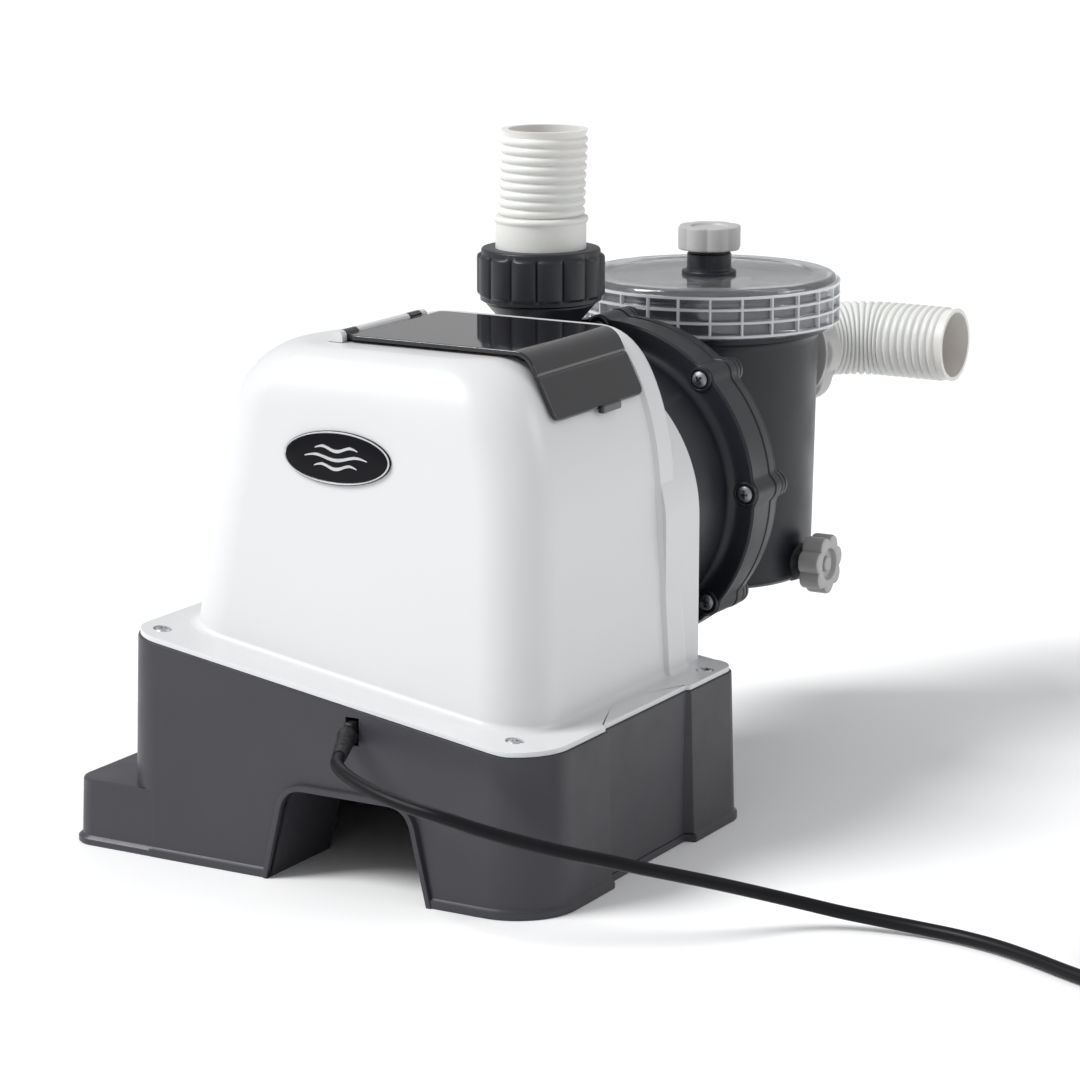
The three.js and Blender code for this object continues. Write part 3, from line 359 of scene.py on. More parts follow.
def turned(profile, centre, axis=(0, 0, 1), sides=96, closed=False):
    """A turned shape through [radius, height] points: capped at its ends, or closed into a tube."""
    return skin([ring(centre, axis, r, sides, h) for r, h in profile], closed)


def eased(points, radius, steps=4, loop=False):
    """A line with its corners rounded. A point may bring its own radius as a third number."""
    made = []
    count = len(points)
    for i, point in enumerate(points):
        here = Vector(point[:2])
        own = point[2] if len(point) > 2 else radius
        if own <= 0 or (not loop and i in (0, count - 1)):
            made.append(tuple(here))
            continue
        before = Vector(points[i - 1][:2]) - here
        after = Vector(points[(i + 1) % count][:2]) - here
        reach = min(own, before.length * 0.45, after.length * 0.45)
        start, end = here + before.normalized() * reach, here + after.normalized() * reach
        for k in range(steps + 1):
            t = k / steps
            made.append(tuple(start * (1 - t) ** 2 + here * (2 * t * (1 - t)) + end * t * t))
    return made


def lobed(radius, lobes, depth, sharpness):
    """The radius at each angle of a knob or nut whose rim swells into lobes."""
    def reach(turn):
        return radius - depth * (1 - abs(cos(lobes * turn / 2)) ** sharpness)
    return reach


def stack(reach, levels, centre, axis, sides=168, closed=False):
    """A shape through rings at (height, change), where change turns the rim's radius into the ring's."""
    rings = []
    for height, change in levels:
        rings.append(ring(centre, axis, 0, sides, height, lambda turn: change(reach(turn))))
    return skin(rings, closed)


def inset(amount):
    return lambda radius: radius - amount


def block(low, high, edge=0.6):
    """A box with rounded edges along all its sides."""
    low, high = Vector(low), Vector(high)
    levels = [(0, edge), (edge * 0.3, edge * 0.3), (edge, 0)]
    tall = high.z - low.z
    levels += [(tall - h, i) for h, i in reversed(levels)]
    rings = []
    for height, pull in levels:
        corners = [(low.x + pull, low.y + pull), (high.x - pull, low.y + pull),
                   (high.x - pull, high.y - pull), (low.x + pull, high.y - pull)]
        outline = eased(corners, edge * 1.5, 3, True)
        rings.append([Vector((x, y, low.z + height)) for x, y in outline])
    return skin(rings)


def moved(mesh, matrix):
    """A mesh put in place by a matrix."""
    bmesh.ops.transform(mesh, matrix=matrix, verts=mesh.verts)
    return mesh


def merged(*meshes):
    """Several meshes as one, without joining their surfaces."""
    whole = meshes[0]
    for other in meshes[1:]:
        copy = bpy.data.meshes.new("part")
        other.to_mesh(copy)
        whole.from_mesh(copy)
        bpy.data.meshes.remove(copy)
        other.free()
    return whole


def carve(mesh, tool):
    """mesh with tool cut out of it."""
    pair = []
    for name, source in (("kept", mesh), ("tool", tool)):
        data = bpy.data.meshes.new(name)
        source.to_mesh(data)
        source.free()
        pair.append(link(bpy.data.objects.new(name, data)))
    kept, cutter = pair
    change = kept.modifiers.new("boolean", "BOOLEAN")
    change.operation = "DIFFERENCE"
    change.solver = "EXACT"
    change.object = cutter
    bpy.context.view_layer.update()
    result = bmesh.new()
    result.from_mesh(kept.evaluated_get(bpy.context.evaluated_depsgraph_get()).to_mesh())
    for obj in pair:
        data = obj.data
        bpy.data.objects.remove(obj)
        bpy.data.meshes.remove(data)
    return result


def make(name, mesh, material, body="machine", stands_for=(), sharp=32, bevel=0.0):
    """Puts a millimetre mesh into the scene as a piece that rides on a body."""
    moved(mesh, Matrix.Translation(CORNER) @ Matrix.Scale(MM, 4))
    data = bpy.data.meshes.new(name)
    mesh.to_mesh(data)
    mesh.free()
    data.polygons.foreach_set("use_smooth", [True] * len(data.polygons))
    data.set_sharp_from_angle(angle=radians(sharp))
    piece = link(bpy.data.objects.new(name, data))
    if bevel:
        soft = piece.modifiers.new("edges", "BEVEL")
        soft.width = bevel * MM
        soft.segments = 2
        soft.limit_method = "ANGLE"
        soft.angle_limit = radians(sharp)
        soft.use_clamp_overlap = False
        soft.harden_normals = True
    even = piece.modifiers.new("even_shading", "WEIGHTED_NORMAL")
    even.keep_sharp = True
    data.materials.append(material)
    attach(piece, body)
    if stands_for:
        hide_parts(*([stands_for] if isinstance(stands_for, str) else stands_for))
    return piece


def dress(material, *nodes, edge=0.35):
    """Gives CAD nodes a finish and a softened edge."""
    for node in nodes:
        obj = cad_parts[node]
        obj.data.materials.clear()
        obj.data.materials.append(material)
        soft = obj.modifiers.new("edges", "BEVEL")
        soft.width = edge * MM
        soft.segments = 2
        soft.limit_method = "ANGLE"
        soft.angle_limit = radians(38)
        soft.harden_normals = True


# ---------------------------------------------------------------- power cord

CORD_WIDTH = 6.8
CORD_ROUTE = [
    (-106.4, -20.1, 78.6), (-104.6, -24.8, 77.4), (-100.5, -29, 76), (-93.5, -33.5, 74.7), (-83, -38.3, 73),
    (-69, -43, 71), (-53.5, -46, 69), (-40, -46.6, 67.2), (-28, -44.5, 64.7), (-12, -38, 59.5),
    (6, -29, 54),
    (23, -19, 49), (38, -8, 44.5), (53, 5, 39), (67, 20, 33), (81, 36, 26.5), (95, 51, 20), (111, 64, 14),
    (129, 74, 9), (148, 80, 6.2), (168, 83, 4.6), (190, 82, 4.2), (212, 77, 4.2), (233, 69, 4.2),
    (253, 60, 4.2), (272, 52.5, 4.3), (296.5, 44.9, 4.4), (322, 42.2, 4.4), ]
SLEEVE_END = (-106.6, -19.6, 78.7)
COIL_CENTRE = (322, 112)
COIL_RADII = [69.8 - 7 * k for k in range(6)]
COIL_LEVELS = [4.4 + 7 * k for k in range(4)]
POINTS_A_TURN = 40
LOOP_TO_PLUG = {"centre": (350, 133.5), "radius": 34.5,
                "leave": 37.5}   # a bend from the coil into the plug
PLUG_AT = (350, 168, 38.9)


def smooth(t):
    """An even start and stop: 0 to 1 as t goes from 0 to 1, and flat outside."""
    t = min(1.0, max(0.0, t))
    return t * t * (3 - 2 * t)


def smooth_line(points, step=4.0):
    """Points about step apart on a smooth curve through the given ones."""
    made = []
    ends = [points[0] * 2 - points[1], *points, points[-1] * 2 - points[-2]]
    for before, here, there, after in zip(ends, ends[1:], ends[2:], ends[3:]):
        count = max(1, round((there - here).length / step))
        for k in range(count):
            t = k / count
            bend = before * 2 - here * 5 + there * 4 - after
            twist = here * 3 - before - there * 3 + after
            made.append(0.5 * (here * 2 + (there - before) * t + bend * t * t + twist * t ** 3))
    return made + [points[-1]]


def coil_moves():
    """The coil's steps, in turns from its start: (when, what, from, to), each a quarter turn long."""
    moves = []
    rows = ((0.75, 5.45), (6.15, 10.85), (11.55, 16.25), (16.95, None))
    for row, (first_step, climb) in enumerate(rows):
        order = list(range(6)) if row % 2 == 0 else list(range(5, -1, -1))
        for k in range(5):
            moves.append((first_step + k, "radius", COIL_RADII[order[k]], COIL_RADII[order[k + 1]]))
        if climb:
            moves.append((climb, "level", COIL_LEVELS[row], COIL_LEVELS[row + 1]))
    return sorted(moves)


def coil_points():
    """Four layers of six turns, wound inwards and outwards by turns, each step made over a quarter turn."""
    moves = coil_moves()
    leave = 21 + (LOOP_TO_PLUG["leave"] + 90) / 360
    made = []
    count = int(leave * POINTS_A_TURN)
    for i in range(1, count + 1):
        turns = i / POINTS_A_TURN
        state = {"radius": COIL_RADII[0], "level": COIL_LEVELS[0]}
        for when, what, start, end in moves:
            if turns > when:
                state[what] = start + (end - start) * smooth((turns - when) / 0.25)
        rise = max(0.0, turns - 21.2) / (leave - 21.2)
        angle = TURN * turns - pi / 2
        made.append(Vector((
            COIL_CENTRE[0] + state["radius"] * cos(angle), COIL_CENTRE[1] + state["radius"] * sin(angle),
            state["level"] + 6.0 * rise * rise)))
    return made


def end_points():
    """From the coil's last turn round into the plug."""
    made = []
    low = COIL_LEVELS[-1] + 6.0
    for k in range(1, 11):
        t = k / 10
        angle = radians(LOOP_TO_PLUG["leave"] + (90 - LOOP_TO_PLUG["leave"]) * t)
        made.append(Vector((
            LOOP_TO_PLUG["centre"][0] + LOOP_TO_PLUG["radius"] * cos(angle),
            LOOP_TO_PLUG["centre"][1] + LOOP_TO_PLUG["radius"] * sin(angle),
            low + (PLUG_AT[2] - low) * sin(t * pi / 2))))
    return made + [Vector(PLUG_AT) + Vector((-14, 0, 0))]


def make_cord():
    route = smooth_line([Vector(p) for p in CORD_ROUTE])
    line = [Vector(SLEEVE_END)] + route + coil_points() + end_points()
    data = bpy.data.curves.new("power_lead", "CURVE")
    data.dimensions = "3D"
    data.bevel_depth = CORD_WIDTH / 2 * MM
    data.bevel_resolution = 5
    data.use_fill_caps = True
    spline = data.splines.new("POLY")
    spline.points.add(len(line) - 1)
    for point, place in zip(spline.points, line):
        point.co = (*at(*place), 1)
    spline.use_smooth = True
    data.materials.append(CORD_SKIN)
    lead = link(bpy.data.objects.new("power_lead", data))
    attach(lead, "machine")
    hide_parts("power_cord", "cord_coil")
    plug = make_plug()
    make_tie()


def rounded_section(half_width, half_height, corner, steps=5):
    corners = [(-half_width, -half_height), (half_width, -half_height), (half_width, half_height),
               (-half_width, half_height)]
    return eased(corners, corner, steps, True)


PLUG_MIDDLE = PLUG_AT[1:]       # the plug's y and z


def plug_ring(x, half_width, half_height, corner):
    return [Vector((x, PLUG_MIDDLE[0] + u, PLUG_MIDDLE[1] + v))
            for u, v in rounded_section(half_width, half_height, corner, 7)]


def make_plug():
    """A moulded three-pin plug: face, waist and grips, and a ribbed sleeve on the cord."""
    body = [(282, 12.6, 9.0, 5), (282.5, 13.2, 9.6, 5.5), (284, 13.5, 9.8, 6), (292, 13.5, 9.8, 6),
            (294, 12.6, 9.2, 6), (297, 11.9, 8.6, 6)]
    for k in range(6):
        x = 298 + 3 * k
        body += [(x, 11.8 - 0.25 * k, 8.6, 6), (x + 0.5, 11.2 - 0.25 * k, 8.0, 6),
                 (x + 1.5, 11.2 - 0.25 * k, 8.0, 6), (x + 2, 11.7 - 0.25 * k, 8.5, 6)]
    body += [(317, 10.2, 8.2, 6), (320, 8.6, 7.4, 6), (322, 6.9, 6.9, 6.7)]
    for k in range(8):
        x, r = 323 + 3.2 * k, 6.4 - 0.24 * k
        body += [(x, r, r, r * 0.97), (x + 0.4, r - 0.9, r - 0.9, (r - 0.9) * 0.97),
                 (x + 1.2, r - 0.9, r - 0.9, (r - 0.9) * 0.97), (x + 1.6, r, r, r * 0.97)]
    body += [(349, 4.5, 4.5, 4.4), (350, 3.9, 3.9, 3.8)]
    plug = make("plug_body", skin([plug_ring(*row) for row in body]), RUBBER, stands_for="plug",
                sharp=50)
    y, z = PLUG_MIDDLE
    blades = merged(*[
        block((265, y + dy - 0.75, z - 1), (283, y + dy + 0.75, z + 5.3), 0.35) for dy in (-6.35, 6.35)])
    pin = turned([(1.2, -19), (2.2, -18.2), (2.4, -17), (2.4, 0)], (282.5, y, z - 6.4), (1, 0, 0), 24)
    pins = make("plug_pins", merged(blades, pin), NICKEL)
    return [plug, pins]


def make_tie():
    """A hook-and-loop strap round the coil, on the side away from the machine."""
    angle = radians(-35)
    outward = Vector((cos(angle), sin(angle), 0))
    aside = Vector((-sin(angle), cos(angle), 0))
    middle = Vector((*COIL_CENTRE, 14.9))
    inner, outer = COIL_RADII[-1] - 3.6, COIL_RADII[0] + 3.6
    half_tall, half_wide = 14.1, 8.5
    rings = []
    for thick, side in ((0, half_wide), (0, -half_wide), (0.9, -half_wide), (0.9, half_wide)):
        low, high = -half_tall - thick * 0.6, half_tall + thick
        loop = eased([(inner - thick, low), (outer + thick, low), (outer + thick, high),
                      (inner - thick, high)], 5, 5, True)
        rings.append([middle + outward * u + Vector((0, 0, v)) + aside * side for u, v in loop])
    tongue_at = middle + outward * (outer - 26) + Vector((0, 0, 15.1))
    tongue = moved(block((0, -half_wide, 0), (17, half_wide, 0.9), 0.3),
                   Matrix.Translation(tongue_at) @ Matrix.Rotation(angle, 4, "Z"))
    return make("cord_tie", merged(skin(rings, closed=True), tongue), RUBBER,
                bevel=0.2)


# ---------------------------------------------------------------- base

BASE_SIDES = {"left": -262, "right": 0, "front": 0, "back": 228}
BASE_RADII = (25, 35, 18, 18)
SHELF_LEFT, SHELF_TOP = -292, 36
WALL = 3
RECESS = (76, 165, -6)          # the side panel's front, back and depth in x
FLANGE_RECESS = (RECESS[0] - 1.5, RECESS[1] + 1.5, RECESS[2] - 1.5)
ARCH = {"left": -165, "right": -68, "top": 50, "lean": 13, "corner": 8}
DECK_LOW, DECK_SLOPE, DECK_LEVEL_FROM = 83.3, 0.152, -26
AXIS = (-110, 167)              # the pump shaft's x and z
DRUM = 79
CORNER_STEPS = 14
STEP_HALF = 1.2                 # half the run of y over which the side steps into its recess
SHELF_BEHIND = 0.15             # how far the shelf stands back from the skirt's foot
BOLT_SPOTS = (60, 168)          # the shelf's bolt holes along y
HOUSING_SCREWS = [(-243, 21), (-30, 24), (-13, 199), (-244, 207)]


def deck(x):
    return DECK_LOW + max(0.0, DECK_SLOPE * (DECK_LEVEL_FROM - x))


def base_inset(z):
    return 1.5 + 0.03 * z


def rounded_corner(corner, before, after, radius, steps=CORNER_STEPS):
    """The arc that rounds a corner, run from the side before it to the side after it."""
    corner, before, after = Vector(corner), Vector(before), Vector(after)
    back, on = (before - corner).normalized(), (after - corner).normalized()
    half = back.angle(on) / 2
    centre = corner + (back + on).normalized() * radius / sin(half)
    start = corner + back * (radius / tan(half)) - centre
    sweep = pi - 2 * half
    arc = []
    for k in range(steps + 1):
        arm = Matrix.Rotation(sweep * k / steps, 2) @ start
        arc.append(centre + arm)
    return arc


def outline(corners, radii, along_sides, steps=CORNER_STEPS):
    """A rounded four-sided outline, anticlockwise from its front left corner. along_sides has, for each of
    the sides front, right, back and left, a function from its two ends to the points between them."""
    arcs = [rounded_corner(corners[i], corners[i - 1], corners[(i + 1) % 4], radii[i],
                           steps) for i in range(4)]
    points = []
    for i in range(4):
        points += arcs[i] + along_sides[i](arcs[i][-1], arcs[(i + 1) % 4][0])
    return points


def evenly(count):
    return lambda start, end: [start.lerp(end, k / (count + 1)) for k in range(1, count + 1)]


def at_y(values):
    """Points at these y on a side."""
    return lambda start, end: [start.lerp(end, (y - start.y) / (end.y - start.y)) for y in values]


def notched(low, high, depth_x):
    """Points on the right side, which steps in to depth_x between low and high."""
    spots = [edge + d for edge in (low, high) for d in (-STEP_HALF, -0.8, -0.3, 0.3, 0.8, STEP_HALF)]

    def run(start, end):
        made = []
        for y in spots:
            t = min(y - low + STEP_HALF, high + STEP_HALF - y) / (2 * STEP_HALF)
            share = smooth(t)
            made.append(Vector((start.x + (min(start.x, depth_x) - start.x) * share, y)))
        return made
    return run


def base_corners(inset):
    s = BASE_SIDES
    return [(s["left"] + inset, s["front"] + inset), (s["right"] - inset, s["front"] + inset),
            (s["right"] - inset, s["back"] - inset), (s["left"] + inset, s["back"] - inset)]


def base_outline(inset, recess=RECESS):
    low, high, depth = recess
    sides = [evenly(6), notched(low, high, depth), evenly(4), evenly(3)]
    return outline(base_corners(inset), [r - inset for r in BASE_RADII], sides)


def deck_height(x, flat):
    """The true height of a point drawn under a level deck: the top follows the slope, the foot stays."""
    fixed = 40
    if flat <= fixed:
        return flat
    return fixed + (flat - fixed) * (deck(x) - fixed) / (DECK_LOW - fixed)


def base_ring(flat, extra=0.0, drafted=True):
    """A ring of the base at a level-deck height, in from its drafted side and its recess by extra."""
    recess = (RECESS[0] - extra, RECESS[1] + extra, RECESS[2] - extra)
    shallow, deep = base_outline(0, recess), base_outline(1, recess)
    ring_points = []
    for first, second in zip(shallow, deep):
        inset = extra + (base_inset(deck_height(first.x, flat)) if drafted else 0.0)
        spot = first.lerp(second, inset) if inset <= 1 else first + (second - first) * inset
        ring_points.append(Vector((spot.x, spot.y, flat)))
    for point in ring_points:
        if recess[0] + 1 < point.y < recess[1] - 1 and point.x > recess[2]:
            point.x = recess[2]
    return ring_points


def slope_deck(mesh):
    """Bends a mesh drawn with a level deck to the deck's slope."""
    bmesh.ops.bisect_plane(mesh, geom=mesh.verts[:] + mesh.edges[:] + mesh.faces[:], dist=1e-4,
                           plane_co=(DECK_LEVEL_FROM, 0, 0), plane_no=(1, 0, 0))
    for vertex in mesh.verts:
        vertex.co.z = deck_height(vertex.co.x, vertex.co.z)
    return mesh


def arch_line(grow=0.0):
    """The arch's edge in x and z, from its left foot over its top to its right foot."""
    left, right, top = ARCH["left"] - grow, ARCH["right"] + grow, ARCH["top"] + grow
    lean, corner = ARCH["lean"], ARCH["corner"] + grow
    points = [(left, 0, 0), (left + lean - 1, top, corner + 3), (right - lean + 1, top, corner + 3),
              (right, 0, 0)]
    return eased(points, 0, 8)


def prism(line, y0, y1):
    """An outline in x and z, pushed from y0 to y1."""
    return skin([[Vector((x, y, z)) for x, z in line] for y in (y0, y1)])


def ribbon(line, section):
    """A section of (outward, y) points swept along an open line in x and z."""
    rings = []
    for i, (x, z) in enumerate(line):
        before, after = line[max(0, i - 1)], line[min(len(line) - 1, i + 1)]
        run = Vector((after[0] - before[0], after[1] - before[1])).normalized()
        outward = Vector((-run.y, run.x))
        rings.append([Vector((x + outward.x * u, y, z + outward.y * u)) for u, y in section])
    return skin(rings)


def box_tool(low, high):
    (x0, y0, z0), (x1, y1, z1) = low, high
    return skin([[Vector((x, y, z)) for x, y in ((x0, y0), (x1, y0), (x1, y1), (x0, y1))] for z in (z0,
                                                                                                    z1)])


def rod_tool(radius, start, end, sides=48):
    start, end = Vector(start), Vector(end)
    return turned([(radius, 0), (radius, (end - start).length)], start, end - start, sides)


def shelf_ring(flat, inset):
    front, back = inset + SHELF_BEHIND, BASE_SIDES["back"] - inset - SHELF_BEHIND
    corners = [(SHELF_LEFT + inset, front), (BASE_SIDES["left"] + 40, front),
               (BASE_SIDES["left"] + 40, back), (SHELF_LEFT + inset, back)]
    points = outline(corners, (12, 4, 4, 12), [evenly(1)] * 4, 8)
    return [Vector((p.x, p.y, flat)) for p in points]


def make_base():
    """Skirt with a flared foot, recessed side panel, arch, cord slot and the low shelf on its left."""
    inside = [(DECK_LOW - WALL, WALL), (60, WALL), (40, WALL), (0, WALL)]
    foot = [(0, 0.7), (0.3, 0.2), (0.9, 0), (3.4, 0), (4.0, 0.25), (4.4, 0.9)]
    skirt = [(5.2, 0), (40, 0), (60, 0), (DECK_LOW - 0.9, 0), (DECK_LOW - 0.3, 0.25), (DECK_LOW, 0.9)]
    rings = [base_ring(*level) for level in inside]
    rings += [base_ring(*level, drafted=False) for level in foot]
    rings += [base_ring(*level) for level in skirt]
    shell = slope_deck(skin(rings))
    shelf = skin([shelf_ring(*level) for level in (
        (SHELF_TOP - WALL, WALL + 2), (0, WALL + 2), (0, 0.7), (0.9, 0), (3.4, 0), (4.2, 0.6), (5.2, 1.65),
        (SHELF_TOP - 1.2, 2.5), (SHELF_TOP - 0.35, 2.9), (SHELF_TOP, 3.7))])
    tools = [prism(arch_line() + [(ARCH["right"], -10), (ARCH["left"], -10)], -20, 30),
             rod_tool(DRUM + 2.5, (AXIS[0], 190, AXIS[1]), (AXIS[0], 240, AXIS[1]), 96),
             box_tool((-118, -5, 78), (-110, 8, 92.5))]
    tools += [box_tool((x, 60, 80), (x + 5, 140, 130)) for x in (-230, -218, -206, -194)]
    for tool in tools:
        shell = carve(shell, tool)
    for y in BOLT_SPOTS:
        shelf = carve(shelf, rod_tool(4.2, (SHELF_LEFT + 15, y, 10), (SHELF_LEFT + 15, y, 50), 32))
    inner = arch_line()
    tunnel = prism(arch_line(WALL) + inner[::-1], 2, 60)
    lip = ribbon(inner, [(0, 3), (0, -0.2), (0.15, -0.5), (0.5, -0.7), (2.4, -0.7), (2.9, -0.5), (3.1, 0),
                         (3.1, 3)])
    posts = [turned([(2.2, 0), (4.6, 0), (5, 0.5), (5, 21), (2.2, 21)], (x, y, deck(x) - 22), sides=24,
                    closed=True)
             for x, y in HOUSING_SCREWS]
    make("base_shell", merged(shell, shelf, tunnel, lip, *posts), DARK, stands_for="base",
         sharp=28)


# ---------------------------------------------------------------- white housing

BODY = {"left": -257, "left_back": -208, "right": -25, "front": 29, "back": 203}
BODY_RADII = (30, 30, 12, 12)
BODY_TOP = 270
LEANS = {                       # lean for each millimetre up, then the roll-over's start and width
    "left": (0.115, 232, 20), "front": (0.1, 238, 20), "right": (0.06, 190, 34), "back": (0.03, 250, 8)}
BAND_PROUD, BAND_RISE = 2.5, 1.5
BAND_STEP = (175.3, 176.7)      # where the step to the raised band starts and ends
COLLAR = {"radius": 84.5, "front": 176.8, "back": 216}
DOORWAY = (179, 236)            # the y range cut out of the wall inside the collar
LOUVRES = {"count": 6, "low": 130, "pitch": 9, "height": 4}
FLARE = 3.4                     # the fillet between the wall and the flange
PANEL = {"left": -156, "right": -62, "front": 88, "back": 166, "z": 262}
RIGHT_SPOTS = 12                # points on the right side in front of the band's step


def side_inset(side, z):
    lean, start, across = LEANS[side]
    rolled = min(1.0, max(0.0, (z - start) / (BODY_TOP - start)))
    return lean * (z - DECK_LOW) + across * (1 - sqrt(1 - rolled * rolled))


def body_outline(z, grow):
    inset = {side: side_inset(side, z) - grow for side in LEANS}
    slant = (BODY["left_back"] - BODY["left"]) / (BODY["back"] - BODY["front"])
    front, back = BODY["front"] + inset["front"], BODY["back"] - inset["back"]
    right = BODY["right"] - inset["right"]

    def left_at(y):
        return BODY["left"] + slant * (y - BODY["front"]) + inset["left"] * hypot(1, slant)

    def right_side(start, end):
        step = Vector((start.x, BAND_STEP[0]))
        first = [start.lerp(step, k / (RIGHT_SPOTS - 1)) for k in range(1, RIGHT_SPOTS)]
        return first + [Vector((start.x, BAND_STEP[1]))]
    corners = [(left_at(front), front), (right, front), (right, back), (left_at(back), back)]
    return outline(corners, BODY_RADII, [evenly(6), right_side, evenly(4), at_y(BAND_STEP[::-1])])


def flange_outline(inset):
    sides = [evenly(6), notched(*FLANGE_RECESS), evenly(4), at_y(BAND_STEP[::-1])]
    return outline(base_corners(inset), [r - inset for r in BASE_RADII], sides)


CORNER_POINTS = CORNER_STEPS + 1
BAND_FROM = 2 * CORNER_POINTS + 6 + RIGHT_SPOTS - 1     # the ring's first point on the band
BAND_TO = 4 * CORNER_POINTS + 6 + RIGHT_SPOTS + 4       # its last


def on_band(i):
    return BAND_FROM <= i <= BAND_TO


def body_ring(height, grow=0.0, band=True):
    """A ring of the housing's wall. height is a number, or a function of x."""
    level = height if callable(height) else lambda x: height
    guess = body_outline(level(-130), grow)
    rings = {}
    made = []
    for i, spot in enumerate(guess):
        z = level(spot.x)
        raised = band and on_band(i)
        key = (round(z, 2), raised)
        if key not in rings:
            rings[key] = body_outline(z, grow + (BAND_PROUD if raised else 0))
        place = rings[key][i]
        lift = BAND_RISE * min(1.0, max(0.0, (z - 190) / 80)) if raised else 0.0
        made.append(Vector((place.x, place.y, z + lift)))
    return made


def flange_ring(lift, extra):
    shallow, deep = flange_outline(0), flange_outline(1)
    made = []
    for first, second in zip(shallow, deep):
        spot = first + (second - first) * (base_inset(deck(first.x)) + 1.2 + extra)
        made.append(Vector((spot.x, spot.y, deck(spot.x) + lift)))
    low, high, depth = FLANGE_RECESS
    for point in made:
        if low + 1 < point.y < high - 1 and point.x > depth - extra:
            point.x = depth - extra
    return made


def collar_path(radius):
    """The collar's arch in x and z: up its left side, round the pump shaft and down its right."""
    sides = 64
    line = [(AXIS[0] - radius, 60), (AXIS[0] - radius, AXIS[1])]
    line += [(AXIS[0] - radius * cos(pi * k / sides), AXIS[1] + radius * sin(pi * k / sides))
             for k in range(1, sides)]
    return line + [(AXIS[0] + radius, AXIS[1]), (AXIS[0] + radius, 60)]


def make_housing():
    """The shell over the motor, with its flange, raised band, collar, louvres and panel opening."""
    inner = [body_ring(z, -WALL, False) for z in (267, 266.5, 264, 258, 248, 235, 218, 195, 150)]
    inner += [body_ring(lambda x: deck(x) + 0.3, -WALL, False)]
    outer = [flange_ring(0.3, 0), flange_ring(2.3, 0), flange_ring(2.8, 0.2), flange_ring(3, 0.8)]
    for k in range(6):
        turn = pi / 2 * k / 5
        spread, lift = FLARE * (1 - sin(turn)), 3 + FLARE * (1 - cos(turn))
        outer.append(body_ring(lambda x, lift=lift: deck(x) + lift, spread))
    heights = [132, 150, 170, 190] + [190 + 80 * sin(pi / 2 * k / 18) for k in range(1, 19)]
    outer += [body_ring(z) for z in heights]
    shell = skin(inner + outer, caps=False)
    shell.verts.ensure_lookup_table()
    count = len(inner[0])
    shell.faces.new(shell.verts[:count])
    top = shell.verts[-count:]
    shell.faces.new(top[BAND_FROM:BAND_TO + 1])
    shell.faces.new([top[BAND_FROM - 1], top[BAND_FROM], top[BAND_TO], top[(BAND_TO + 1) % count]])
    shell.faces.new([top[i % count] for i in range(BAND_TO + 1, BAND_FROM + count)])
    bmesh.ops.recalc_face_normals(shell, faces=shell.faces)
    doorway = prism(collar_path(COLLAR["radius"] - WALL), *DOORWAY)
    tools = [doorway, box_tool((PANEL["left"], PANEL["front"], 240), (PANEL["right"], PANEL["back"], 300))]
    for i in range(LOUVRES["count"]):
        low = LOUVRES["low"] + LOUVRES["pitch"] * i
        tools.append(box_tool((-300, 75, low), (-180, 135, low + LOUVRES["height"])))
    tools += [rod_tool(5, (x, y, deck(x) + 1.2), (x, y, 140), 32) for x, y in HOUSING_SCREWS]
    for tool in tools:
        shell = carve(shell, tool)
    line = collar_path(COLLAR["radius"] - WALL)
    line[0] = (line[0][0], deck(line[0][0]) + 0.3)
    line[-1] = (line[-1][0], deck(line[-1][0]) + 0.3)
    front, back = COLLAR["front"], COLLAR["back"]
    collar = ribbon(line, [(0, front), (0, back - 0.6), (0.6, back), (2.2, back), (2.8, back - 0.4),
                           (3, back - 1.2), (3, front)])
    make("housing_shell", merged(shell, collar), WHITE, stands_for="upper_housing",
         sharp=30)


# ---------------------------------------------------------------- screws

def cross_screw(head_radius, dome, shank_radius, shank):
    """A cross-recessed pan head screw, its head's underside at the origin and its head along +z."""
    profile = [(shank_radius * 0.4, -shank), (shank_radius, -shank + 1.5), (shank_radius, 0),
               (head_radius, 0), (head_radius, dome * 0.35)]
    profile += [(head_radius * cos(a), dome * (0.35 + 0.65 * sin(a))) for a in (0.35, 0.7, 1.05, 1.35)]
    screw = turned(profile, (0, 0, 0), sides=40)
    reach, half = head_radius * 0.56, head_radius * 0.13
    for turn in (0, pi / 2):
        tool = skin([
            [Matrix.Rotation(turn, 3, "Z") @ Vector((x * s, y, z)) for x, y in
             ((-reach, -half), (reach, -half), (reach, half), (-reach, half))]
            for z, s in ((dome * 0.1, 0.45), (dome + 1, 1.15))])
        screw = carve(screw, tool)
    return screw


def place_screw(node, screw, material, matrix):
    make(f"{node}_detail", moved(screw, matrix), material, stands_for=node, sharp=35)


def make_screws():
    for i, (x, y) in enumerate(HOUSING_SCREWS):
        matrix = Matrix.Translation((x, y, deck(x) + 1.5)) @ Matrix.Rotation(0.4 + i, 4, "Z")
        place_screw(f"housing_screw_{i + 1}", cross_screw(4.4, 2.5, 1.9, 16), STEEL, matrix)
    upright = Matrix.Rotation(pi / 2, 4, "X")
    for i, (x, z) in enumerate(screw_spots()):
        matrix = Matrix.Translation((x, 262.7, z)) @ upright @ Matrix.Rotation(0.7 * i, 4, "Z")
        place_screw(f"ring_screw_{i + 1}", cross_screw(4.8, 3.1, 2.2, 36), DULL_STEEL, matrix)


# ---------------------------------------------------------------- badge

BADGE = {"x": -145.5, "z": 217, "half_width": 32.5, "half_height": 14}


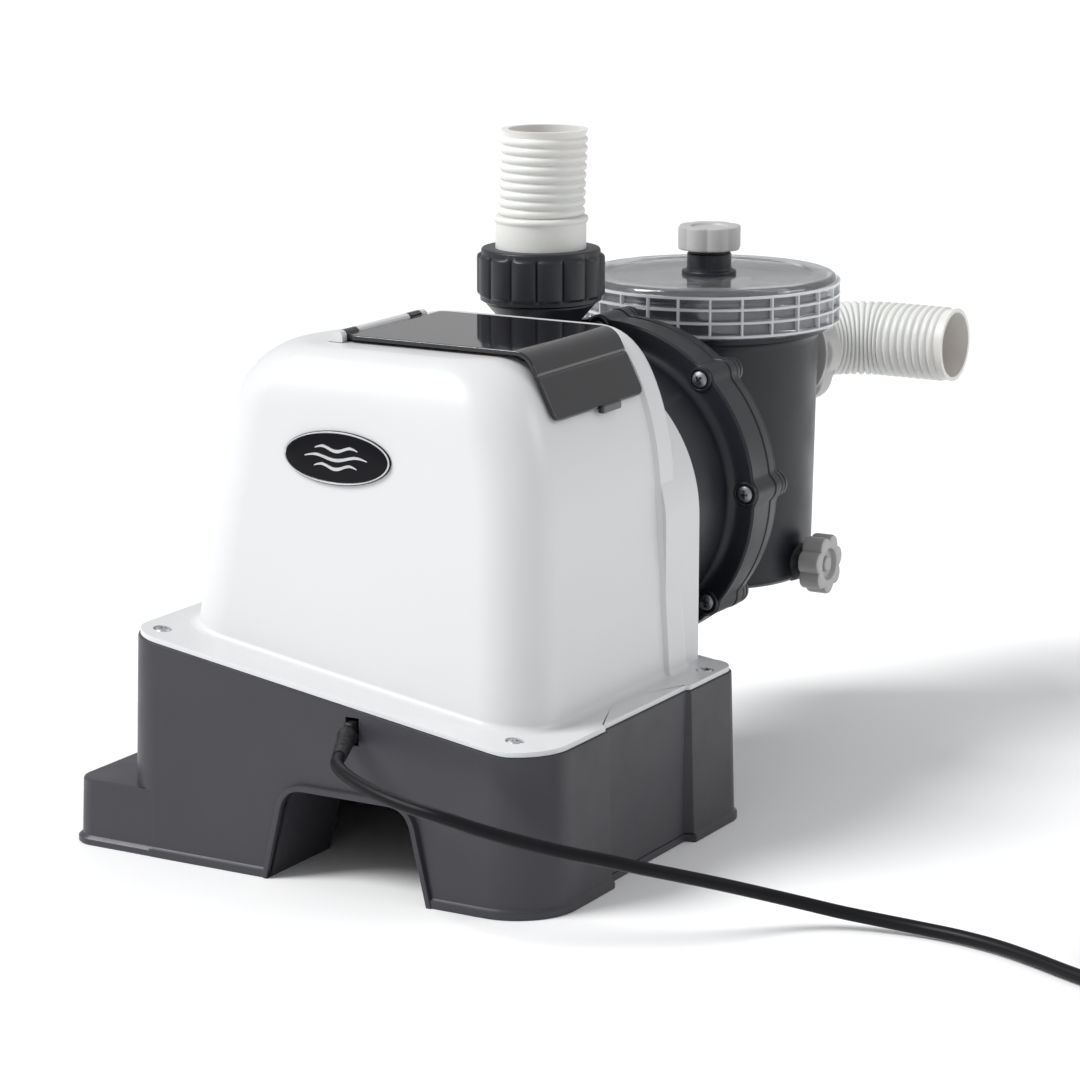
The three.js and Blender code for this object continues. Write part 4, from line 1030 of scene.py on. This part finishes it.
def badge_matrix():
    lean = atan(LEANS["front"][0])
    y = BODY["front"] + LEANS["front"][0] * (BADGE["z"] - DECK_LOW)
    return Matrix.Translation((BADGE["x"], y, BADGE["z"])) @ Matrix.Rotation(pi / 2 - lean, 4, "X")


def oval(levels):
    """A stack of ovals at (height, change of both half axes)."""
    rings = []
    for height, change in levels:
        wide, high = BADGE["half_width"] + change, BADGE["half_height"] + change
        turns = [TURN * k / 96 for k in range(96)]
        rings.append([Vector((wide * cos(turn), high * sin(turn), height)) for turn in turns])
    return rings


def wave_strip(centre, length, swing, width, height):
    """A wavy bar lying flat, its ends narrowed to points."""
    rings = []
    for k in range(33):
        t = k / 32
        middle = Vector((centre[0] + length * (t - 0.5), centre[1] + swing * sin(TURN * 1.5 * t)))
        half = max(0.12, width / 2 * sin(pi * min(1.0, max(0.0, t * 0.94 + 0.03))) ** 0.5)
        rings.append([Vector((middle.x, middle.y - half, 0)), Vector((middle.x, middle.y + half, 0)),
                      Vector((middle.x, middle.y + half * 0.7, height)),
                      Vector((middle.x, middle.y - half * 0.7, height))])
    return skin(rings)


def make_badge():
    """A lacquered oval with a bright edge and three plain waves in place of a name."""
    plate = skin(oval([(0.2, 0), (0.9, 0), (1.4, -0.3), (1.6, -0.9), (1.25, -1.6), (1.2, -1.9), (1.5, -4),
                       (1.75, -9)]))
    rim = skin(oval([(1.35, -0.35), (1.8, -0.55), (1.8, -1.15), (1.2, -1.5)]), closed=True)
    waves = merged(*[wave_strip((0, dy), length, 1.1, 2.3, 0.55)
                     for dy, length in ((4.6, 26), (0, 38), (-4.6, 26))])
    raised = moved(waves, Matrix.Translation((0, 0, 1.55)))
    for name, mesh, material, stands in (
            ("badge_plate", plate, GLOSS_BLACK, "badge"), ("badge_rim", rim, SILVER, ()),
            ("badge_waves", raised, SILVER, ())):
        make(name, moved(mesh, badge_matrix()), material, stands_for=stands, sharp=40)


# ---------------------------------------------------------------- flip cover

COVER = {"left": -164, "fold": -55, "top": 274.2, "foot": (-37.5, 240), "front": 80, "back": 174,
         "thick": 2.6}
HINGE = {"x": -168, "z": 273.2, "barrel": 3, "ears": ((83, 95), (146, 158))}
COVER_GROOVE = {"at": 11.0, "depth": 0.95,
                "half_width": 1.1}      # a groove across the flap, below the fold


def cover_line():
    """The middle of the cover's thickness, from its hinge end over the fold to its foot, in short steps."""
    half = COVER["thick"] / 2
    foot = Vector(COVER["foot"])
    fold = Vector((COVER["fold"], COVER["top"]))
    down = (foot - fold).normalized()
    inward = Vector((down.y, -down.x))
    corners = [(COVER["left"], COVER["top"] - half), (fold.x - 0.8, COVER["top"] - half, 7),
               tuple(foot + inward * half)]
    rough = [Vector(p) for p in eased(corners, 0, 10)]
    made = [rough[0]]
    for start, end in zip(rough, rough[1:]):
        count = max(1, round((end - start).length / 1.2))
        made += [start.lerp(end, k / count) for k in range(1, count + 1)]
    return made


def hinge_ears():
    """The barrels that turn on the hinge pin, and the tabs that join them to the cover."""
    ears = []
    barrel = HINGE["barrel"]
    for y0, y1 in HINGE["ears"]:
        wide = y1 - y0
        section = [(1.9, 0), (barrel - 0.4, 0), (barrel, 0.4), (barrel, wide - 0.4), (barrel - 0.4, wide),
                   (1.9, wide)]
        ears.append(turned(section, (HINGE["x"], y0, HINGE["z"]), (0, 1, 0), 32, True))
        ears.append(block((HINGE["x"] + 2.2, y0, COVER["top"] - 2.6),
                          (COVER["left"] + 1.5, y1, COVER["top"]), 0.4))
    return ears


def make_cover():
    """Smoked cover with rounded corners, a groove across the flap, a lip and two hinge ears."""
    line = cover_line()
    length = [0.0]
    for start, end in zip(line, line[1:]):
        length.append(length[-1] + (end - start).length)
    whole = length[-1]
    fold_at = next(s for s, p in zip(length, line) if p.x >= COVER["fold"] - 1)
    middle, reach = (COVER["front"] + COVER["back"]) / 2, (COVER["back"] - COVER["front"]) / 2
    corner = 5.0
    rings = []
    for i, (s, point) in enumerate(zip(length, line)):
        before, after = line[max(0, i - 1)], line[min(len(line) - 1, i + 1)]
        run = (after - before).normalized()
        up = Vector((-run.y, run.x))
        near = min(s, whole - s)
        pulled = corner - sqrt(max(0.0, corner ** 2 - (corner - near) ** 2)) if near < corner else 0.0
        half = COVER["thick"] / 2 * (0.55 if near < 0.1 else 1.0)
        off_groove = abs(s - fold_at - COVER_GROOVE["at"]) / COVER_GROOVE["half_width"]
        sunk = COVER_GROOVE["depth"] * max(0.0, 1 - off_groove)
        width = reach - pulled
        section = eased([(-width, -half), (width, -half), (width, half - sunk), (-width, half - sunk)], 0.9,
                        4, True)
        rings.append([Vector((point.x + up.x * v, middle + u, point.y + up.y * v)) for u, v in section])
    foot_x, foot_z = COVER["foot"]
    lip = block((foot_x - 2, 126, foot_z - 3.5), (foot_x + 1.6, 146, foot_z + 1), 0.8)
    make("smoked_cover", merged(skin(rings), lip, *hinge_ears()), SMOKED, "cover", "flip_cover",
         sharp=40)


MARK_HEIGHTS = (-0.3, 0.1)      # a mark's underside and top, from the panel's face


def ring_mark(inner, outer, centre):
    low, high = MARK_HEIGHTS
    return turned([(inner, low), (outer, low), (outer, high), (inner, high)], centre, sides=24, closed=True)


def make_panel_marks():
    """Plain signs beside the buttons and lit figures on the display."""
    z = PANEL["z"] + 0.02
    marks = []
    for i in range(4):
        x, y = -143 + 22 * i, 97
        if i == 0:
            marks.append(block((x - 1.8, y - 1.6, z - 0.3), (x + 1.8, y + 1, z + 0.1), 0.1))
            marks.append(ring_mark(1.0, 1.5, (x, y + 1.2, z)))
        elif i == 1:
            corners = ((-2, -1.8), (2, -1.8), (0, 1.8))
            marks.append(skin([[Vector((x + u, y + v, z + h)) for u, v in corners] for h in MARK_HEIGHTS]))
        elif i == 2:
            marks.append(ring_mark(1.5, 2.1, (x, y, z)))
        else:
            marks.append(ring_mark(1.9, 2.2, (x, y, z)))
            marks.append(block((x - 0.2, y, z - 0.3), (x + 0.2, y + 1.7, z + 0.1), 0.05))
            marks.append(block((x, y - 0.2, z - 0.3), (x + 1.3, y + 0.2, z + 0.1), 0.05))
    make("panel_marks", merged(*marks), IVORY)
    bars = []
    for x in (-130, -120, -110):
        bars += digit(x, 136, PANEL["z"] - 0.6)
    make("display_figures", merged(*bars), LIT)


def digit(x, y, z):
    """The seven bars of a figure 0 to 9 display, with the middle one unlit."""
    high, wide, thick = 9.0, 5.0, 1.0
    bars = []
    for dx in (0, wide):
        for dy in (0.4, high / 2 + 0.4):
            bars.append(block((x + dx, y + dy, z - 0.2),
                              (x + dx + thick, y + dy + high / 2 - 0.8, z + 0.12), 0.1))
    for dy in (-thick / 2, high - thick / 2):
        bars.append(block((x + 0.8, y + dy, z - 0.2), (x + wide + 0.2, y + dy + thick, z + 0.12), 0.1))
    return bars


# ---------------------------------------------------------------- pump

SCREW_CIRCLE = 88.8
BOSS = 7.8
RING_SIDES = 360
OUTLET = (-139, 241)


def screw_turns():
    return [radians(2.5 + 45 * i) for i in range(8)]


def screw_spots():
    """The x and z of each screw in the pump's ring."""
    return [(AXIS[0] + SCREW_CIRCLE * cos(turn),
             AXIS[1] + SCREW_CIRCLE * sin(turn)) for turn in screw_turns()]


def soft_max(a, b, soft):
    h = max(0.0, soft - abs(a - b)) / soft
    return max(a, b) + h * h * soft / 4


def bossed(radius, pull=0.0):
    """The radius, less pull, at each angle of a ring swollen round its screws. Angles run from +x to +z."""
    def reach(turn):
        best = radius
        for spot in screw_turns():
            off = (turn - spot + pi) % TURN - pi
            across = SCREW_CIRCLE * sin(off)
            if abs(across) < BOSS and cos(off) > 0:
                best = soft_max(best, SCREW_CIRCLE * cos(off) + sqrt(BOSS ** 2 - across ** 2), 2.0)
        return best - pull
    return reach


def shaft_ring(y, reach):
    """A ring round the pump shaft, with a radius for each angle."""
    made = []
    for i in range(RING_SIDES):
        turn = TURN * i / RING_SIDES
        r = reach(turn) if callable(reach) else reach
        made.append(Vector((AXIS[0] + r * cos(turn), y, AXIS[1] + r * sin(turn))))
    return made


def make_volute():
    """Drum, flange ring with its screw bosses, and the outlet neck."""
    drum = [(205, 76), (205, 78.2), (205.8, 79), (257, 79), (259.5, 79.6), (261.3, 81.2), (262, 83.6),
            (262, 86)]
    flange = [(262, 94, 1.6), (262.3, 94, 0.7), (263.1, 94, 0), (283.2, 93, 0), (283.6, 93, 0.5),
              (284.6, 93, 0.5), (285, 92.9, -0.3), (291.2, 92.5, -0.3), (291.8, 92.5, 0.1),
              (292, 92.5, 0.8)]
    chamber = [(292, 89.3), (266, 90.8), (266, 21), (262, 21), (262, 76)]
    rings = [shaft_ring(y, r) for y, r in drum]
    rings += [shaft_ring(y, bossed(radius, pull)) for y, radius, pull in flange]
    rings += [shaft_ring(y, r) for y, r in chamber]
    sinks = [rod_tool(5.4, (x, 250, z), (x, 263, z), 32) for x, z in screw_spots()]
    body = carve(skin(rings, closed=True), merged(*sinks))
    collar = [(5.4, 0), (5.4, -0.9), (5.7, -1.2), (6.5, -1.2), (6.9, -0.8), (7.2, 0), (7.2, 0.8),
              (5.4, 0.8)]
    collars = [turned(collar, (x, 262, z), (0, 1, 0), 40, True) for x, z in screw_spots()]
    neck = turned([(18.5, 238), (22, 238), (22, 259), (22.6, 262), (30, 270.6), (30.5, 271.3),
                   (30.5, 272.2), (30, 272.5), (28, 272.6), (28, 289.4), (27.4, 290), (18.5, 290)],
                  (*OUTLET, 0), sides=72, closed=True)
    saddle = turned([(21, 232), (30, 232), (26, 243), (23.2, 247), (22, 252), (21, 252)],
                    (*OUTLET, 0), sides=72, closed=True)
    make("pump_body", merged(body, neck, saddle, *collars), CHARCOAL, stands_for="pump_volute",
         sharp=34)


# ---------------------------------------------------------------- strainer

POT = (-110, 389)
PORT_Z = 212
DRAIN_Z = 105


def make_strainer():
    """Plate on the pump's ring, throat, pot with its threaded rim, inlet port and drain boss."""
    plate = skin([shaft_ring(y, r) for y, r in (
        (292.3, 39), (292.3, bossed(91.5, 0.8)), (292.8, bossed(91.5, 0.2)), (293.4, bossed(91.5)),
        (296, bossed(91.5)), (296.8, bossed(91.5, 0.6)), (297, bossed(91.5, 1.6)), (297, 52), (298, 47.5),
        (301, 44.8), (306, 44), (340, 44), (340, 39))], closed=True)
    boss = [(2.6, 0), (7.8, 0), (7.6, 2.4), (7, 3), (3.2, 3), (2.6, 2.4)]
    bosses = [turned(boss, (x, 297, z), (0, 1, 0), 40, True) for x, z in screw_spots()]
    outer = [(30, 91.6), (34, 93), (54, 93), (58.5, 93.8), (61.2, 96), (62.1, 99), (64.4, 234), (65.2, 237),
             (67, 238.6),
             (69, 239.4), (69.2, 251.4), (70.6, 252.4), (70.6, 254), (69.2, 255), (69.3, 262.4),
             (68.8, 263)]
    inner = [(61, 263), (60.5, 262.5), (60.5, 236), (58.2, 97.4), (56, 97)]
    shell = turned(outer + inner, (*POT, 0), sides=144)
    throat = rod_tool(39, (AXIS[0], 300, AXIS[1]), (AXIS[0], 360, AXIS[1]), 72)
    mouth = rod_tool(18.5, (POT[0], 420, PORT_Z), (POT[0], 500, PORT_Z), 48)
    shell = carve(carve(shell, throat), mouth)
    port = turned([(18.5, 446), (22, 446), (22, 461.5), (23, 463.6), (27, 464.4), (28, 465), (28, 487.4),
                   (27.4, 488), (18.5, 488)], (POT[0], 0, PORT_Z), (0, 1, 0), 72, True)
    root = turned([(21, 448), (29, 448), (26, 453), (22.8, 457), (22, 462), (21, 462)], (POT[0], 0, PORT_Z),
                  (0, 1, 0), 72, True)
    drain = turned([(5.4, 58), (12.5, 58), (11.2, 61.5), (9.8, 63.5), (9.5, 67.4), (9, 68), (5.4, 68)],
                   (POT[0], POT[1], DRAIN_Z), (1, 0, 0), 48, True)
    make("strainer_pot", merged(plate, shell, port, root, drain, *bosses), CHARCOAL,
         stands_for=("strainer_front", "strainer_body", "inlet_port"), sharp=34)


LID_RIBS = 26
LID_HOOPS = (245.2, 253.1, 260.6, 267.4)


def make_lid():
    """Clear screw-on lid: hoops and upright grips round its band, and a dished top."""
    outer = [(72.3, 243.3), (75, 243.3), (76.4, 243.9), (76.6, 245.2), (76.2, 246.4), (74.6, 247.2),
             (74.6, 251.6),
             (76.2, 252.2), (76.4, 253.1), (76.2, 254), (74.6, 254.6), (74.6, 259.2), (76, 259.8),
             (76.2, 260.6),
             (76, 261.4), (74.7, 262), (74.7, 266), (75.2, 267), (75, 269), (73.8, 271.2), (71.8, 272),
             (62, 272), (60, 271.5), (58.5, 270.8), (30, 270.8), (22, 270.8), (14, 270.8)]
    inner = [(14, 268), (66, 268), (71.6, 267.6), (72.3, 266.6)]
    shell = turned(outer + inner, (*POT, 0), sides=156, closed=True)
    ribs = []
    for i in range(LID_RIBS):
        turn = Matrix.Rotation(TURN * (i + 0.5) / LID_RIBS, 4, "Z")
        rib = block((74.2, -0.8, 244.6), (77, 0.8, 267.4), 0.5)
        ribs.append(moved(rib, Matrix.Translation((*POT, 0)) @ turn))
    hoops = []
    for z in LID_HOOPS:
        section = [(75.4, z - 0.7), (77, z - 0.7), (77, z + 0.7), (75.4, z + 0.7)]
        hoops.append(turned(section, (*POT, 0), sides=156, closed=True))
    make("clear_lid_shell", shell, CLEAR, "lid", "strainer_lid", sharp=50)
    make("clear_lid_grips", merged(*ribs, *hoops), FROSTED, "lid", sharp=50)
    seat = turned([(6.4, 267.4), (16, 267.4), (16, 272.4), (15.6, 273), (13.4, 273.6), (13, 275),
                   (13, 282.6), (12.4, 283.4), (6.4, 283.4)], (*POT, 0), sides=64, closed=True)
    make("air_release_seat", seat, CHARCOAL, "lid", sharp=34)


def knob(radius, lobes, depth, thick, rim, sunk, face):
    """A lobed hand knob along +z from the origin, its face sunk inside the rim."""
    levels = [(0, inset(rim)), (rim * 0.3, inset(rim * 0.3)), (rim, inset(0)), (thick - rim, inset(0)),
              (thick - rim * 0.3, inset(rim * 0.3)), (thick, inset(rim)),
              (thick, lambda r: face + (r - face) * 0.25), (thick - 0.3, lambda r: face),
              (thick - sunk, lambda r: face - 0.8), (thick - sunk, lambda r: face * 0.5)]
    return stack(lobed(radius, lobes, depth, 0.9), levels, (0, 0, 0), (0, 0, 1))


def make_knobs():
    air = knob(radius=18.8, lobes=8, depth=1.7, thick=14, rim=1.4, sunk=1.4, face=11)
    air = moved(air, Matrix.Translation((*POT, 285.3)))
    stem = turned([(3, 262), (5.6, 262.6), (5.8, 263.4), (5.8, 286), (4, 286)], (*POT, 0), sides=32)
    make("air_knob", merged(air, stem), KNOB, "air_release", "air_release_knob", sharp=38)
    drain = knob(radius=17.7, lobes=7, depth=3.2, thick=13, rim=1.5, sunk=3.0, face=9.5)
    hub = turned([(4.4, 9.5), (4.4, 11.4), (3.9, 12), (1, 12)], (0, 0, 0), sides=32)
    stem = turned([(3, -10), (5, -9.2), (5, 1), (3, 1)], (0, 0, 0), sides=32)
    place = Matrix.Translation((POT[0] + 68.4, POT[1], DRAIN_Z)) @ Matrix.Rotation(pi / 2, 4, "Y")
    make("drain_plug", moved(merged(drain, hub, stem), place), KNOB, "drain", "drain_knob",
         sharp=38)


# ---------------------------------------------------------------- unions and hoses

HOSE_LEAN = 0.045               # the outlet hose's lean to the right above its cuff
RIB_PITCH, RIB_DEPTH = 4.9, 1.5


def union_nut(radius, lobes, depth, sharpness, low, high, bore, thread, seat):
    """A union nut along +z: lobed grips between two plain rims, threaded inside."""
    reach = lobed(radius, lobes, depth, sharpness)
    round_rim = radius - depth * 0.75
    grips = [
        (low, lambda r: bore), (low, lambda r: round_rim - 0.8), (low + 0.5, lambda r: round_rim),
        (low + 2.6, lambda r: round_rim), (low + 3.6, inset(0.5)), (low + 4.6, inset(0)),
        (high - 5.2, inset(0)), (high - 4.0, inset(0.5)), (high - 3.0, lambda r: round_rim - 0.4),
        (high - 1.0, lambda r: round_rim - 0.6),
        (high - 0.3, lambda r: round_rim - 1.1), (high, lambda r: round_rim - 2.2),
        (high, lambda r: thread), (seat, lambda r: thread), (seat, lambda r: bore)]
    return stack(reach, grips, (0, 0, 0), (0, 0, 1), lobes * 20, closed=True)


def hose_profile(radius, length):
    """Points of (radius, distance) down a ribbed hose: rounded ribs with narrow grooves."""
    made = []
    count = int(length / RIB_PITCH)
    for k in range(count):
        s = RIB_PITCH * k
        for share, drop in ((0, 1), (0.1, 0.8), (0.22, 0.25), (0.36, 0.04), (0.5, 0), (0.64, 0.04),
                            (0.78, 0.25), (0.9, 0.8)):
            made.append((radius - RIB_DEPTH * drop, s + RIB_PITCH * share))
    made.append((radius - RIB_DEPTH, RIB_PITCH * count))
    return made


def make_unions():
    nut = union_nut(radius=35.6, lobes=14, depth=2.6, sharpness=0.55, low=273, high=302.4, bore=28.3,
                    thread=25.5, seat=297)
    nut = moved(nut, Matrix.Translation((*OUTLET, 0)))
    make("outlet_union_nut", nut, CHARCOAL, "outlet_union", "outlet_nut", sharp=40)
    place = Matrix.Translation((POT[0], 478, PORT_Z)) @ Matrix.Rotation(-pi / 2, 4, "X")
    nut = union_nut(radius=37.5, lobes=8, depth=3.6, sharpness=0.9, low=0, high=22, bore=28.3, thread=23.5,
                    seat=15)
    nut = moved(nut, place)
    make("inlet_union_nut", nut, KNOB, "inlet_union", "inlet_nut", sharp=40)


def make_outlet_hose():
    """Plain cuff in the nut, then the ribbed hose, cut square at its top."""
    cuff = [(20, 293), (27.8, 293), (27.8, 296.2), (25.2, 296.4), (25.2, 316.6), (26, 317.2), (26.3, 318.4),
            (26, 319.6), (25, 320.2)]
    hose = [(r, 320.4 + s) for r, s in hose_profile(24.2, 47.6)] + [(24, 368), (20, 368)]
    rings = []
    for r, z in cuff + hose:
        shift = HOSE_LEAN * max(0.0, z - 316)
        rings.append([Vector((OUTLET[0] + shift + r * cos(TURN * i / 96),
                              OUTLET[1] + r * sin(TURN * i / 96), z))
                      for i in range(96)])
    make("outlet_hose", skin(rings, closed=True), IVORY, stands_for="outlet_hose_tail",
         sharp=60)


def inlet_frame(s):
    """The middle of the inlet hose and the direction across it, at a distance from y = 506."""
    bend = 45.0
    arc = bend * pi / 2
    if s < 0:
        return Vector((POT[0], 506 + s, PORT_Z)), Vector((1, 0, 0))
    if s < arc:
        turn = s / bend
        centre = Vector((POT[0] + bend, 506, PORT_Z))
        across = Vector((cos(turn), -sin(turn), 0))
        return centre - across * bend, across
    return Vector((POT[0] + bend + s - arc, 506 + bend, PORT_Z)), Vector((0, -1, 0))


def make_inlet_hose():
    """Ribbed hose from the inlet nut round to the right, cut square at its end."""
    length = 45 * pi / 2 + 43
    rows = [(20, -17.4), (27.8, -17.4), (27.8, -13.5), (23, -13.2), (23, -3), (23.8, -2.4), (24, -1.2),
            (23.6, 0)]
    rows += [(r, 0.4 + s) for r, s in hose_profile(23, length - 1)] + [(22.6, length), (20, length)]
    rows += [(20, length * (1 - k / 24)) for k in range(1, 24)]
    up = Vector((0, 0, 1))
    rings = []
    for r, s in rows:
        middle, across = inlet_frame(s)
        turns = [TURN * i / 72 for i in range(72)]
        rings.append([middle + across * (r * cos(turn)) + up * (r * sin(turn)) for turn in turns])
    make("inlet_hose", skin(rings, closed=True), IVORY, stands_for="inlet_hose_tail",
         sharp=60)


# ---------------------------------------------------------------- strain relief

def make_relief():
    """A clip in the base's slot and a slim tapered sleeve with shallow grooves."""
    heading = Vector((7.4, -19.5, -5.2)).normalized()
    start = Vector((-114, 0, 84))
    profile = [(4.6, 0.2), (5.4, 0.5), (5.4, 1.8), (4.9, 2.4)]
    for k in range(4):
        s, r = 4 + 3.6 * k, 4.7 - 0.18 * k
        profile += [(r, s), (r - 0.4, s + 0.4), (r - 0.4, s + 1.2), (r - 0.05, s + 1.6)]
    profile += [(3.9, 20), (3.8, 21.4), (3.3, 21.6)]
    sleeve = turned(profile, start, heading, 40)
    clip = block((-116.6, -0.4, 79), (-111.4, 7, 90.6), 1.0)
    make("cord_sleeve", merged(sleeve, clip), RUBBER, stands_for="strain_relief",
         sharp=50)


# ---------------------------------------------------------------- what stays as it is in the CAD

def dress_the_rest():
    dress(DARK, "control_panel", edge=0.5)
    dress(KNOB, "lock_button", "boost_button", "clean_button", "timer_button", edge=0.3)
    dress(LAMP_WINDOW, "display", edge=0.2)
    dress(BOARD, "control_board", edge=0.1)
    dress(STEEL, "motor_shaft", "front_bearing", "rear_bearing", edge=0.3)
    dress(BLACK, "cooling_fan", "flow_sensor", edge=0.4)
    dress(WHITE, "cover_hinge_block", edge=0.4)
    dress(ENAMEL, "motor_casing", edge=0.8)
    dress(CHARCOAL, "motor_rear_bracket", "fan_cowl", "seal_plate", edge=0.5)
    dress(COPPER, "stator", "transformer_winding", edge=1.0)
    dress(DULL_STEEL, "rotor", "transformer_core", edge=0.3)
    dress(KNOB, "strainer_basket", edge=0.4)
    dress(IVORY, "motor_capacitor", "impeller", edge=0.5)
    dress(TITANIUM, "electrode_plates", edge=0.15)
    dress(RUBBER, "outlet_gasket", "lid_seal", "shaft_seal", "motor_cradle", edge=0.4)


# ---------------------------------------------------------------- the scene

make_camera()
make_cord()
make_studio()
make_base()
make_housing()
make_screws()
make_badge()
make_cover()
make_panel_marks()
make_volute()
make_strainer()
make_lid()
make_knobs()
make_unions()
make_outlet_hose()
make_inlet_hose()
make_relief()
dress_the_rest()
